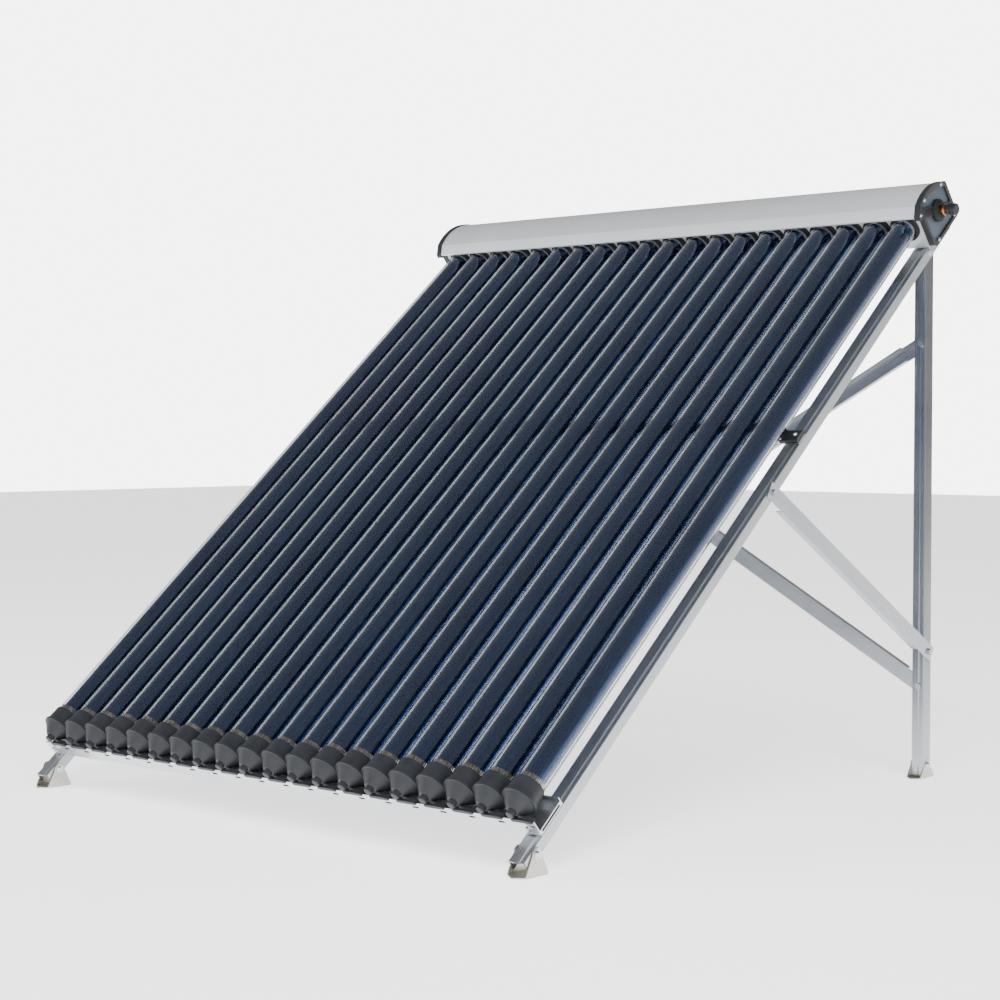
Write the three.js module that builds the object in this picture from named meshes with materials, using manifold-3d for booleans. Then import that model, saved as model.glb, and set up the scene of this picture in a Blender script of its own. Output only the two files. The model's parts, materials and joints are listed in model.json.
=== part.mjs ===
// Twenty-tube heat-pipe solar water heater on a tilted aluminium stand.
// Millimetres. World frame: +X to the right, +Y to the rear, +Z up, origin on the ground under the centre.
// The collector is built flat in its own frame (x across, y up the slope, z out of the glass) and tilted.
import * as THREE from 'three';
import { mergeVertices } from 'three/addons/utils/BufferGeometryUtils.js';
import Module from 'manifold-3d';

const wasm = await Module();
wasm.setup();

// ---------- driving dimensions ----------
const TILT = 40; // degrees from horizontal
const GAP = 0.3; // running clearance between neighbouring pieces
const ROUND = 12; // sides of a turned piece

const TUBE_COUNT = 20;
const TUBE_DIAMETER = 58;
const TUBE_SPACING = 15; // between neighbouring tubes
const TUBE_LENGTH = 1800;
const TUBE_START = 72; // glass tip, up the slope from the collector's own origin
const STOPPER_DIAMETER = 42;
const STOPPER_LENGTH = 8;
const CONDENSER_DIAMETER = 14;
const CONDENSER_LENGTH = 44;

const CUP_WALL = 3;
const CUP_LIP = 3.5; // how far the lip stands out of the collar
const CUP_COLLAR_LENGTH = 34;
const CUP_LIP_LENGTH = 6;
const CUP_LIP_DROP = 1; // lip below the cup's inner floor
const CUP_LIP_CHAMFER = 1;
const CUP_CONE_LENGTH = 24;
const CUP_NECK_RADIUS = 14;
const CUP_STUD_RADIUS = 9;
const CUP_STUD_LENGTH = 10;
const CUP_EAR_REACH = 38;
const CUP_EAR_HEIGHT = 8;
const CUP_EAR_LEAD = 4; // ear in front of the track
const CUP_EAR_LENGTH = 12;

const HEADER_MARGIN = 45; // casing past the axis of the outermost tube
const HEADER_DEPTH = 127; // along the slope
const HEADER_INSERTION = 23; // glass inside the casing
const CASING_DROP = 58; // casing floor below the tube axes
const CASING_WALL = 1.5;
const COVER_WALL = 2;
const EAVE_REACH = 18;
const EAVE_CLEARANCE = 4; // underside of the eave above the glass
const EAVE_LIP = 5;
const CREASE_RISE = 17;
const CREASE_SETBACK = 20;
const ARCH_RISE = 16; // crown of the arch over its chord
const COVER_SKIRT = 12; // rear skirt that laps the casing
const CASING_LAP = 1; // casing's back below the cover's inner face
const END_CAP_THICKNESS = 14;
const END_CAP_POCKET = 4;
const END_CAP_RIM = 8;
const END_CAP_OVERHANG = 1.5; // end cap past the casing and the cover
const END_CAP_CHAMFER = 10; // cut corner at the bottom front
const END_CAP_NOSE = 11; // nose under the eave
const POCKET_CORNER = 8; // cut corner of a sunk panel
const BAND_FRONT = 8; // lower edge of the diagonal band at the front
const BAND_REAR_TOP = -8;
const BAND_REAR_BOTTOM = -20;
const UPPER_POCKET_INSET = 12; // upper panel behind the front edge
const UPPER_POCKET_RISE = 8; // its front corner above the eave
const GROMMET_RADIUS = 26;
const GROMMET_LENGTH = 8;

const MANIFOLD_RADIUS = 19;
const MANIFOLD_WALL = 1.5;
const MANIFOLD_BEHIND_GLASS = 40; // manifold axis behind the end of the glass
const WELL_WALL = 1.5;
const WELL_SIDES = 8;
const STUB_RADIUS = 11;
const STUB_WALL = 1.5;
const STUB_REACH = 37; // stub past the grommet
const STUB_LEAD = 25; // manifold's full width ends short of the casing's end
const STUB_NECK = 5; // and the stub's own width starts
const WELL_LEAD = 2; // well's mouth past the stopper
const PIPE_CAP_LENGTH = 22;
const PIPE_CAP_WALL = 2;

const RAIL_WIDTH = 40;
const RAIL_HEIGHT = 24;
const RAIL_WALL = 2.5;
const RAIL_LENGTH = 1985;
const RAIL_START = -25;
const RAIL_OUTSET = 20; // rail centre past the axis of the outermost tube
const STRIP_WIDTH = 11; // raised strip along one edge of each frame profile
const STRIP_RISE = 3;

const TRACK_START = 40;
const TRACK_DEPTH = 79;
const TRACK_WALL = 2.5;
const TRACK_LIP = 18; // rear wall
const TRACK_SHELF = 10; // hollow shelf height
const TRACK_SLOT_LENGTH = 16;
const TRACK_SLOT_HEIGHT = 5;

const MID_RAIL_START = 1145;
const MID_RAIL_WIDTH = 32;
const MID_RAIL_WALL = 2.5;
const MID_RAIL_TAB_LAP = 10; // end tab under the channel

const LEG_WIDTH = 30;
const LEG_DEPTH = 28;
const LEG_WALL = 2.5;
const LEG_SETBACK = 1411; // front pivot to leg centre, level
const LEG_FLOOR_CLEARANCE = 8;

const BRACE_WIDTH = 36;
const BRACE_DEPTH = 16;
const BRACE_WALL = 2;
const BRACE_END = 16; // tab past its bolt
const BRACE_TAB = 50; // bolt to where the flanges begin
const SIDE_BRACE_RAIL = 1003; // bolt on the rail, up the slope
const SIDE_BRACE_LEG = 296; // bolt on the leg, above the ground
const CROSS_BRACE_DROP = 212; // top bolt below the bolt between leg and rail
const CROSS_BRACE_LOW = 215;
const CROSS_BRACE_INSET = 12; // bolt inside the leg's outer face

const BOLT_RADIUS = 4;
const BOLT_HEAD_RADIUS = 7.5;
const BOLT_HEAD_LENGTH = 5.5;
const BOLT_SIDES = 8;
const BOLT_TAIL = 3; // shank past the last wall
const SPACER_RADIUS = 9;

const FOOT_PLATE = 3;
const FOOT_SHOULDER = 30;
const FOOT_TIP = 48;
const FOOT_LUG_RADIUS = 13;
const FOOT_LUG_SHOULDER = 0.35; // radians above level where the dome starts
const FRONT_PIVOT_HEIGHT = 41;
const REAR_PIVOT_HEIGHT = 30;
const FRONT_PIVOT_SLOPE = 8; // pivot up the slope from the collector's own origin

const EMBED = 1; // how far a joined solid reaches into its neighbour
const OVERRUN = 5; // how far a cutter passes the face that it cuts
const LEG_STOCK = 200; // leg past its rail bolt before it is cut
const FAR = 4000; // larger than the whole assembly

// ---------- sizes worked out from them ----------
// Corner radius of a turned hole whose flats lie at the given radius.
function circumscribed(radius, sides) {
  return radius / Math.cos(Math.PI / sides);
}

const TUBE_RADIUS = TUBE_DIAMETER / 2;
const TUBE_PITCH = TUBE_DIAMETER + TUBE_SPACING;
const EAVE_HEIGHT = TUBE_RADIUS + EAVE_CLEARANCE;
const TUBE_END = TUBE_START + TUBE_LENGTH;
const ARRAY_HALF = TUBE_PITCH * (TUBE_COUNT - 1) / 2;
const CUP_RADIUS = TUBE_RADIUS + GAP + CUP_WALL;
const HEADER_FACE = TUBE_END - HEADER_INSERTION;
const HEADER_REAR = HEADER_FACE + HEADER_DEPTH;
const HEADER_HALF = ARRAY_HALF + HEADER_MARGIN;
const MANIFOLD_AXIS = TUBE_END + MANIFOLD_BEHIND_GLASS;
const COVER_BACK = HEADER_REAR + GAP + COVER_WALL;
const CAP_FACE = HEADER_HALF + GAP + END_CAP_THICKNESS;
const STUB_END = CAP_FACE + GROMMET_LENGTH + STUB_REACH;
const RAIL_TOP = -CASING_DROP - GAP;
const RAIL_CENTRE = ARRAY_HALF + RAIL_OUTSET;
const RAIL_FACE = RAIL_CENTRE + RAIL_WIDTH / 2;
const RAIL_BOLT_LINE = RAIL_TOP - (RAIL_HEIGHT + RAIL_WALL) / 2;
const LEG_FACE = RAIL_FACE - RAIL_WALL - GAP;
const LEG_CENTRE = LEG_FACE - LEG_WIDTH / 2;
const BOLT_HOLE = circumscribed(BOLT_RADIUS + GAP, BOLT_SIDES);

const tilt = THREE.MathUtils.degToRad(TILT);
const FRONT_PIVOT_Y = FRONT_PIVOT_SLOPE * Math.cos(tilt) - RAIL_BOLT_LINE * Math.sin(tilt);
const FRONT_PIVOT_Z = FRONT_PIVOT_SLOPE * Math.sin(tilt) + RAIL_BOLT_LINE * Math.cos(tilt);
const COLLECTOR_HEIGHT = FRONT_PIVOT_HEIGHT - FRONT_PIVOT_Z;
const LEG_Y = FRONT_PIVOT_Y + LEG_SETBACK;
const LEG_FRONT = LEG_Y - LEG_DEPTH / 2;

const paint = (color, roughness, metalness) => new THREE.MeshStandardMaterial({ color, roughness, metalness });
const aluminium = paint(0xc9cdd2, 0.38, 0.9);
const coverFinish = paint(0xd3d6da, 0.42, 0.8);
const blackPlastic = paint(0x25272b, 0.6, 0);
const glassFinish = paint(0x26364f, 0.12, 0.2);
const copper = paint(0xb87352, 0.3, 1);
const zinc = paint(0xc4bfb4, 0.4, 0.9);

// ---------- solids ----------
const X_AXIS = new THREE.Vector3(1, 0, 0);
const Y_AXIS = new THREE.Vector3(0, 1, 0);
const Z_AXIS = new THREE.Vector3(0, 0, 1);

function toManifold(geometry) {
  const bare = geometry.clone();
  bare.deleteAttribute('normal');
  bare.deleteAttribute('uv');
  const merged = mergeVertices(bare, 1e-4);
  const vertProperties = new Float32Array(merged.attributes.position.array);
  const corners = merged.index.array;
  const kept = [];
  for (let i = 0; i < corners.length; i += 3) {
    const [a, b, c] = [corners[i], corners[i + 1], corners[i + 2]];
    if (a !== b && b !== c && c !== a) kept.push(a, b, c);
  }
  return new wasm.Manifold(new wasm.Mesh({ numProp: 3, vertProperties, triVerts: new Uint32Array(kept) }));
}

function toGeometry(solid) {
  const mesh = solid.getMesh();
  const geometry = new THREE.BufferGeometry();
  geometry.setAttribute('position', new THREE.BufferAttribute(new Float32Array(mesh.vertProperties), 3));
  geometry.setIndex(new THREE.BufferAttribute(new Uint32Array(mesh.triVerts), 1));
  geometry.computeVertexNormals();
  return geometry;
}

function outline(points) {
  return new THREE.Shape(points.map(([x, y]) => new THREE.Vector2(x, y)));
}

// A prism whose section is drawn in (y, z) and which runs from x0 to x1.
function prismX(shape, x0, x1, curveSegments = 6) {
  const geometry = new THREE.ExtrudeGeometry(shape, { depth: x1 - x0, bevelEnabled: false, curveSegments });
  geometry.applyMatrix4(new THREE.Matrix4().makeBasis(Y_AXIS, Z_AXIS, X_AXIS));
  return toManifold(geometry.translate(x0, 0, 0));
}

// A prism whose section is drawn in (x, y) and which runs from z0 to z1.
function prismZ(shape, z0, z1) {
  const geometry = new THREE.ExtrudeGeometry(shape, { depth: z1 - z0, bevelEnabled: false, curveSegments: 6 });
  return toManifold(geometry.translate(0, 0, z0));
}

// A prism whose section is drawn in (x, z) and which runs from y0 to y1.
function prismY(shape, y0, y1) {
  const geometry = new THREE.ExtrudeGeometry(shape, { depth: y1 - y0, bevelEnabled: false });
  geometry.applyMatrix4(new THREE.Matrix4().makeBasis(X_AXIS, Z_AXIS, Y_AXIS.clone().negate()));
  return toManifold(geometry.translate(0, y1, 0));
}

// A turned piece: the profile lists [radius, distance along y] and starts and ends on the axis.
function turned(profile, sides = ROUND) {
  return toManifold(new THREE.LatheGeometry(profile.map(([r, y]) => new THREE.Vector2(r, y)), sides));
}

function rod(radius, from, to, sides = ROUND) {
  return turned([[0, from], [radius, from], [radius, to], [0, to]], sides);
}

function block(x0, x1, y0, y1, z0, z1) {
  const geometry = new THREE.BoxGeometry(x1 - x0, y1 - y0, z1 - z0);
  return toManifold(geometry.translate((x0 + x1) / 2, (y0 + y1) / 2, (z0 + z1) / 2));
}

// The same piece with its y axis laid along +x.
const alongX = (solid) => solid.rotate([0, 0, -90]);
const cutAll = (solid, cutters) => cutters.reduce((left, cutter) => left.subtract(cutter), solid);
const joinAll = (solids) => solids.reduce((sum, solid) => sum.add(solid));

// A hex-headed bolt along x with its head's seat at x = seat; the shank runs back by length.
function boltX(seat, length, side = 1) {
  const head = rod(BOLT_HEAD_RADIUS, 0, BOLT_HEAD_LENGTH, 6);
  const shank = rod(BOLT_RADIUS, -length, EMBED, BOLT_SIDES);
  const bolt = alongX(head.add(shank));
  return (side > 0 ? bolt : bolt.mirror([1, 0, 0])).translate([seat, 0, 0]);
}

function piece(name, solid, material) {
  const mesh = new THREE.Mesh(toGeometry(solid), material);
  mesh.name = name;
  return mesh;
}

const mirrored = (solid) => solid.mirror([1, 0, 0]);
const tubeAxes = Array.from({ length: TUBE_COUNT }, (_, i) => (i * TUBE_PITCH) - ARRAY_HALF);
const twoDigits = (i) => String(i + 1).padStart(2, '0');

// ---------- collector ----------
// Sealed glass tube with the stopper and condenser of its heat pipe standing out of the top.
function evacuatedTube() {
  const r = TUBE_RADIUS;
  const neck = TUBE_END + STOPPER_LENGTH;
  const tip = neck + CONDENSER_LENGTH;
  const dome = [0, 30, 60, 90].map((degrees) => {
    const a = THREE.MathUtils.degToRad(degrees);
    return [r * Math.sin(a), TUBE_START + r * (1 - Math.cos(a))];
  });
  return turned([
    ...dome,
    [r, TUBE_END],
    [STOPPER_DIAMETER / 2, TUBE_END],
    [STOPPER_DIAMETER / 2, neck],
    [CONDENSER_DIAMETER / 2, neck],
    [CONDENSER_DIAMETER / 2, tip],
    [0, tip],
  ]);
}

// Plastic cup under each tube: collar, lip, cone, screwed stud and the ear that sits on the track.
function tubeCup() {
  const floor = TUBE_START - GAP;
  const lipTop = floor - CUP_LIP_DROP;
  const rim = lipTop + CUP_COLLAR_LENGTH;
  const lipBottom = lipTop - CUP_LIP_LENGTH;
  const neck = lipBottom - CUP_CONE_LENGTH;
  const inner = TUBE_RADIUS + GAP;
  const body = turned([
    [0, neck - CUP_STUD_LENGTH],
    [CUP_STUD_RADIUS, neck - CUP_STUD_LENGTH],
    [CUP_STUD_RADIUS, neck],
    [CUP_NECK_RADIUS, neck],
    [CUP_RADIUS, lipBottom],
    [CUP_RADIUS + CUP_LIP, lipBottom + CUP_LIP_CHAMFER],
    [CUP_RADIUS + CUP_LIP, lipTop],
    [CUP_RADIUS, lipTop],
    [CUP_RADIUS, rim],
    [inner, rim],
    [inner, floor + TUBE_RADIUS * 0.5 - GAP],
    [TUBE_RADIUS * 0.5, floor - GAP],
    [0, floor - GAP],
  ]);
  const seat = trackWallTop() + GAP;
  const front = TRACK_START - CUP_EAR_LEAD;
  const ear = block(-CUP_NECK_RADIUS, CUP_EAR_REACH, 0, CUP_EAR_LENGTH, 0, CUP_EAR_HEIGHT);
  return body.add(ear.translate([0, front, seat]));
}

function trackWallTop() {
  return -CUP_NECK_RADIUS - CUP_EAR_HEIGHT;
}

// The arched edge of the cover, from the crease to the top rear corner.
function archPoints(front, rear, rise, steps) {
  const chord = new THREE.Vector2(rear[0] - front[0], rear[1] - front[1]);
  const half = chord.length() / 2;
  const radius = (half * half + rise * rise) / (2 * rise);
  const angle = Math.asin(half / radius);
  const along = chord.clone().normalize();
  const out = new THREE.Vector2(-along.y, along.x);
  return Array.from({ length: steps + 1 }, (_, i) => {
    const a = angle * (2 * i / steps - 1);
    const run = half + radius * Math.sin(a);
    const lift = radius * Math.cos(a) - (radius - rise);
    return [front[0] + along.x * run + out.x * lift, front[1] + along.y * run + out.y * lift];
  });
}

// Outer line of the cover, drawn in (up the slope, out of the glass), grown outwards by a margin.
function coverLine(grow, rearDrop) {
  const lip = [HEADER_FACE - EAVE_REACH - grow, EAVE_HEIGHT - grow];
  const lipTop = [lip[0], EAVE_HEIGHT + EAVE_LIP];
  const crease = [HEADER_FACE - EAVE_REACH + CREASE_SETBACK - grow * 0.4, lipTop[1] + CREASE_RISE + grow * 0.9];
  const rear = [COVER_BACK + grow, EAVE_HEIGHT + grow * 0.4];
  return [lip, lipTop, ...archPoints(crease, rear, ARCH_RISE, 8), [rear[0], rearDrop]];
}

// Arched sheet cover with its eave over the tube holes and its rear skirt.
function headerCover() {
  const skirt = EAVE_HEIGHT - COVER_SKIRT;
  const outer = coverLine(0, skirt);
  const inner = coverLine(-COVER_WALL, skirt).reverse();
  const tuck = HEADER_FACE + CASING_WALL + GAP + COVER_WALL;
  const underside = [[tuck, EAVE_HEIGHT + COVER_WALL], [tuck, EAVE_HEIGHT]];
  return prismX(outline([...outer, ...inner, ...underside]), -HEADER_HALF, HEADER_HALF);
}

// Casing under the cover: drilled front, floor and back.
function headerBase() {
  const [front, rear, floor, w] = [HEADER_FACE, HEADER_REAR, -CASING_DROP, CASING_WALL];
  const top = EAVE_HEIGHT - GAP;
  const rearTop = EAVE_HEIGHT - COVER_WALL - CASING_LAP;
  const outside = [[front, top], [front, floor], [rear, floor], [rear, rearTop]];
  const inside = [[rear - w, rearTop], [rear - w, floor + w], [front + w, floor + w], [front + w, top]];
  const drill = rod(TUBE_RADIUS + GAP, front - OVERRUN, front + w + OVERRUN);
  const holes = tubeAxes.map((x) => drill.translate([x, 0, 0]));
  return cutAll(prismX(outline([...outside, ...inside]), -HEADER_HALF, HEADER_HALF), holes);
}

// Moulded end cap: outer outline, two panels sunk around a diagonal band, and the pipe grommet.
function endCap() {
  const grow = END_CAP_OVERHANG;
  const front = HEADER_FACE - grow;
  const rear = COVER_BACK + grow;
  const floor = -CASING_DROP - grow;
  const cut = END_CAP_CHAMFER;
  const nose = [front, EAVE_HEIGHT - END_CAP_NOSE];
  const edge = [...coverLine(grow, floor), [front + cut, floor], [front, floor + cut], nose];
  const [inside, face] = [HEADER_HALF + GAP, CAP_FACE];
  const [near, far, low] = [front + END_CAP_RIM, rear - END_CAP_RIM, floor + END_CAP_RIM];
  const corner = [front + UPPER_POCKET_INSET, EAVE_HEIGHT + UPPER_POCKET_RISE];
  const archStart = [corner[0] + POCKET_CORNER / 2, corner[1] + POCKET_CORNER];
  const archEnd = [far, EAVE_HEIGHT - POCKET_CORNER / 2];
  const upper = [corner, ...archPoints(archStart, archEnd, ARCH_RISE - POCKET_CORNER, 5), [far, BAND_REAR_TOP]];
  const lowerFront = [[near, BAND_FRONT], [near, low + POCKET_CORNER], [near + POCKET_CORNER, low]];
  const lower = [...lowerFront, [far, low], [far, BAND_REAR_BOTTOM]];
  const sunk = (line) => prismX(outline(line), face - END_CAP_POCKET, face + OVERRUN);
  const boss = alongX(rod(GROMMET_RADIUS, face - END_CAP_POCKET - EMBED, face + GROMMET_LENGTH, 16));
  const bore = alongX(rod(STUB_RADIUS + GAP, inside - OVERRUN, face + GROMMET_LENGTH + OVERRUN));
  const centre = [0, MANIFOLD_AXIS, 0];
  const plate = cutAll(prismX(outline(edge), inside, face), [sunk(upper), sunk(lower)]);
  return plate.add(boss.translate(centre)).subtract(bore.translate(centre));
}

// Copper manifold: hollow pipe with a stub at each end and a dry well for every condenser.
function headerPipe() {
  const [r, w] = [MANIFOLD_RADIUS, MANIFOLD_WALL];
  const [body, stub, bore] = [HEADER_HALF - STUB_LEAD, STUB_RADIUS, STUB_RADIUS - STUB_WALL];
  const shoulder = HEADER_HALF - STUB_NECK;
  const end = STUB_END + OVERRUN;
  const shell = alongX(turned([
    [0, -STUB_END],
    [stub, -STUB_END],
    [stub, -shoulder],
    [r, -body],
    [r, body],
    [stub, shoulder],
    [stub, STUB_END],
    [0, STUB_END],
  ]));
  const hollow = alongX(turned([
    [0, -end],
    [bore, -end],
    [bore, -shoulder],
    [r - w, -body],
    [r - w, body],
    [bore, shoulder],
    [bore, end],
    [0, end],
  ]));
  const wellRadius = circumscribed(CONDENSER_DIAMETER / 2 + GAP, WELL_SIDES);
  const wellStart = TUBE_END + STOPPER_LENGTH + WELL_LEAD - MANIFOLD_AXIS;
  const wellEnd = TUBE_END + STOPPER_LENGTH + CONDENSER_LENGTH + GAP - MANIFOLD_AXIS;
  const sleeve = rod(wellRadius + WELL_WALL, wellStart, wellEnd + WELL_WALL, WELL_SIDES);
  const well = rod(wellRadius, wellStart - OVERRUN, wellEnd, WELL_SIDES);
  const sleeves = joinAll(tubeAxes.map((x) => sleeve.translate([x, 0, 0])));
  const pipe = shell.subtract(hollow).add(sleeves);
  return cutAll(pipe, tubeAxes.map((x) => well.translate([x, 0, 0]))).translate([0, MANIFOLD_AXIS, 0]);
}

// Slip-on transport cap over the end of the right stub.
function pipeCap() {
  const inner = STUB_RADIUS + GAP;
  const outer = inner + PIPE_CAP_WALL;
  const mouth = STUB_END + GAP - PIPE_CAP_LENGTH + PIPE_CAP_WALL;
  const end = STUB_END + GAP + PIPE_CAP_WALL;
  const chamfer = PIPE_CAP_WALL;
  const cap = turned([
    [0, STUB_END + GAP],
    [inner, STUB_END + GAP],
    [inner, mouth],
    [outer, mouth],
    [outer, end - chamfer],
    [outer - chamfer, end],
    [0, end],
  ]);
  return alongX(cap).translate([0, MANIFOLD_AXIS, 0]);
}

// Extruded tray across the bottom: slotted front wall, hollow shelf and rear lip.
function bottomTrack() {
  const [y0, y1, w] = [TRACK_START, TRACK_START + TRACK_DEPTH, TRACK_WALL];
  const floor = -CASING_DROP;
  const [wallTop, lipTop, shelf] = [trackWallTop(), floor + TRACK_LIP, floor + TRACK_SHELF];
  const half = RAIL_FACE - GAP;
  const outside = [[y0, floor], [y1, floor], [y1, lipTop], [y1 - w, lipTop]];
  const inside = [[y1 - w, shelf], [y0 + w, shelf], [y0 + w, wallTop], [y0, wallTop]];
  const tray = prismX(outline([...outside, ...inside]), -half, half);
  const tunnel = block(-half - OVERRUN, half + OVERRUN, y0 + 3 * w, y1 - 3 * w, floor + w, shelf - w);
  const [length, height] = [TRACK_SLOT_LENGTH, TRACK_SLOT_HEIGHT];
  const slotZ = (shelf + wallTop - height) / 2;
  const slot = block(-length, 0, y0 - OVERRUN, y0 + w + OVERRUN, slotZ, slotZ + height);
  const slots = tubeAxes.map((x) => slot.translate([x + TUBE_PITCH / 2, 0, 0]));
  return cutAll(tray.subtract(tunnel), slots);
}

// Channel across the middle that the tubes lie on, with flat tabs screwed to the rails.
function midRail() {
  const [y0, y1, w] = [MID_RAIL_START, MID_RAIL_START + MID_RAIL_WIDTH, MID_RAIL_WALL];
  const [floor, top] = [-CASING_DROP, -TUBE_RADIUS - GAP];
  const front = [[y0, top], [y0, floor], [y0 + w, floor], [y0 + w, top - w]];
  const rear = [[y1 - w, top - w], [y1 - w, floor], [y1, floor], [y1, top]];
  const inside = RAIL_FACE - RAIL_WIDTH - GAP;
  const channel = prismX(outline([...front, ...rear]), -inside, inside);
  const [tabStart, tabEnd] = [inside - MID_RAIL_TAB_LAP, RAIL_FACE - GAP];
  const tab = (side) => {
    const ends = [side * tabStart, side * tabEnd];
    return block(Math.min(...ends), Math.max(...ends), y0, y1, floor, floor + w);
  };
  return joinAll([channel, tab(1), tab(-1)]);
}

// Side rail: downward channel with a raised strip along its right edge, drilled for its three bolts.
function frontRail(centre) {
  const [h, half, w] = [RAIL_HEIGHT, RAIL_WIDTH / 2, RAIL_WALL];
  const [top, bottom] = [RAIL_TOP, RAIL_TOP - h];
  const deck = top - STRIP_RISE;
  const strip = half - STRIP_WIDTH;
  const outside = [[half, top], [strip, top], [strip, deck], [-half, deck], [-half, bottom]];
  const inside = [[w - half, bottom], [w - half, deck - w], [half - w, deck - w], [half - w, bottom]];
  const section = outline([...outside, ...inside, [half, bottom]]);
  const profile = prismY(section, RAIL_START, RAIL_START + RAIL_LENGTH);
  const drill = alongX(rod(BOLT_HOLE, -half - OVERRUN, half + OVERRUN, BOLT_SIDES));
  const bolts = [FRONT_PIVOT_SLOPE, SIDE_BRACE_RAIL, legBoltSlope()];
  const holes = bolts.map((y) => drill.translate([0, y, RAIL_BOLT_LINE]));
  return cutAll(profile, holes).translate([centre, 0, 0]);
}

// Where the leg's centre line crosses the rail's bolt line, up the slope.
function legBoltSlope() {
  return (LEG_Y + RAIL_BOLT_LINE * Math.sin(tilt)) / Math.cos(tilt);
}

// A point of the collector's side plane, in the ground frame.
function toGround(y, z) {
  const [c, s] = [Math.cos(tilt), Math.sin(tilt)];
  return [y * c - z * s, y * s + z * c + COLLECTOR_HEIGHT];
}

// Height of the cross braces' upper bolts.
function crossBraceHigh() {
  return toGround(legBoltSlope(), RAIL_BOLT_LINE)[1] - CROSS_BRACE_DROP;
}

// ---------- stand ----------
// Rear leg: C channel open inwards, cut to the slope inside the rail and bolted to the rail's outer wall.
function rearLeg() {
  const [w, d, t] = [LEG_WIDTH, LEG_DEPTH, LEG_WALL];
  const inside = STRIP_RISE + t;
  const outside = [[-w, STRIP_RISE], [-STRIP_WIDTH, STRIP_RISE], [-STRIP_WIDTH, 0], [0, 0], [0, d], [-w, d]];
  const section = outline([...outside, [-w, d - t], [-t, d - t], [-t, inside], [-w, inside]]);
  const [boltY, boltZ] = toGround(legBoltSlope(), RAIL_BOLT_LINE);
  const tall = prismZ(section, LEG_FLOOR_CLEARANCE, boltZ + LEG_STOCK).translate([LEG_FACE, LEG_FRONT, 0]);
  const deck = RAIL_TOP - STRIP_RISE - RAIL_WALL - GAP;
  const level = block(-FAR, FAR, -FAR, FAR, deck, deck + FAR);
  const above = level.rotate([TILT, 0, 0]).translate([0, 0, COLLECTOR_HEIGHT]);
  const sideDrill = alongX(rod(BOLT_HOLE, LEG_FACE - t - OVERRUN, LEG_FACE + OVERRUN, BOLT_SIDES));
  const sideHoles = [REAR_PIVOT_HEIGHT, SIDE_BRACE_LEG].map((z) => sideDrill.translate([0, LEG_Y, z]));
  const frontDrill = rod(BOLT_HOLE, LEG_FRONT - OVERRUN, LEG_FRONT + inside + OVERRUN, BOLT_SIDES);
  const holeX = LEG_FACE - CROSS_BRACE_INSET;
  const frontHoles = [crossBraceHigh(), CROSS_BRACE_LOW].map((z) => frontDrill.translate([holeX, 0, z]));
  const bolt = boltX(RAIL_FACE + GAP, GAP + RAIL_WALL + GAP + t + BOLT_TAIL).translate([0, boltY, boltZ]);
  return cutAll(tall, [above, ...sideHoles, ...frontHoles]).add(bolt);
}

// Channel of a brace, laid along y from its first bolt: web outwards of x = 0, flanges going inwards.
function braceChannel(length) {
  const [half, t] = [BRACE_WIDTH / 2, BRACE_WALL];
  const web = block(0, t, -BRACE_END, length + BRACE_END, -half, half);
  const flange = block(t - BRACE_DEPTH, t, BRACE_TAB, length - BRACE_TAB, half - t, half);
  return joinAll([web, flange, flange.translate([0, 0, t - BRACE_WIDTH])]);
}

// Side brace from the rail to the rear leg, with its two bolts and the spacer that takes up the rail's wall.
function sideBrace() {
  const [topY, topZ] = toGround(SIDE_BRACE_RAIL, RAIL_BOLT_LINE);
  const [lowY, lowZ] = [LEG_Y, SIDE_BRACE_LEG];
  const length = Math.hypot(lowY - topY, lowZ - topZ);
  const angle = THREE.MathUtils.radToDeg(Math.atan2(lowZ - topZ, lowY - topY));
  const face = RAIL_FACE + GAP;
  const seat = face + BRACE_WALL;
  const channel = braceChannel(length).rotate([angle, 0, 0]).translate([face, topY, topZ]);
  const upper = boltX(seat, BRACE_WALL + GAP + RAIL_WALL + BOLT_TAIL).translate([0, topY, topZ]);
  const lower = boltX(seat, seat - LEG_FACE + LEG_WALL + BOLT_TAIL).translate([0, lowY, lowZ]);
  const spacer = alongX(rod(SPACER_RADIUS, LEG_FACE + GAP, face + EMBED, BOLT_SIDES));
  return joinAll([channel, upper, lower, spacer.translate([0, lowY, lowZ])]);
}

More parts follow.
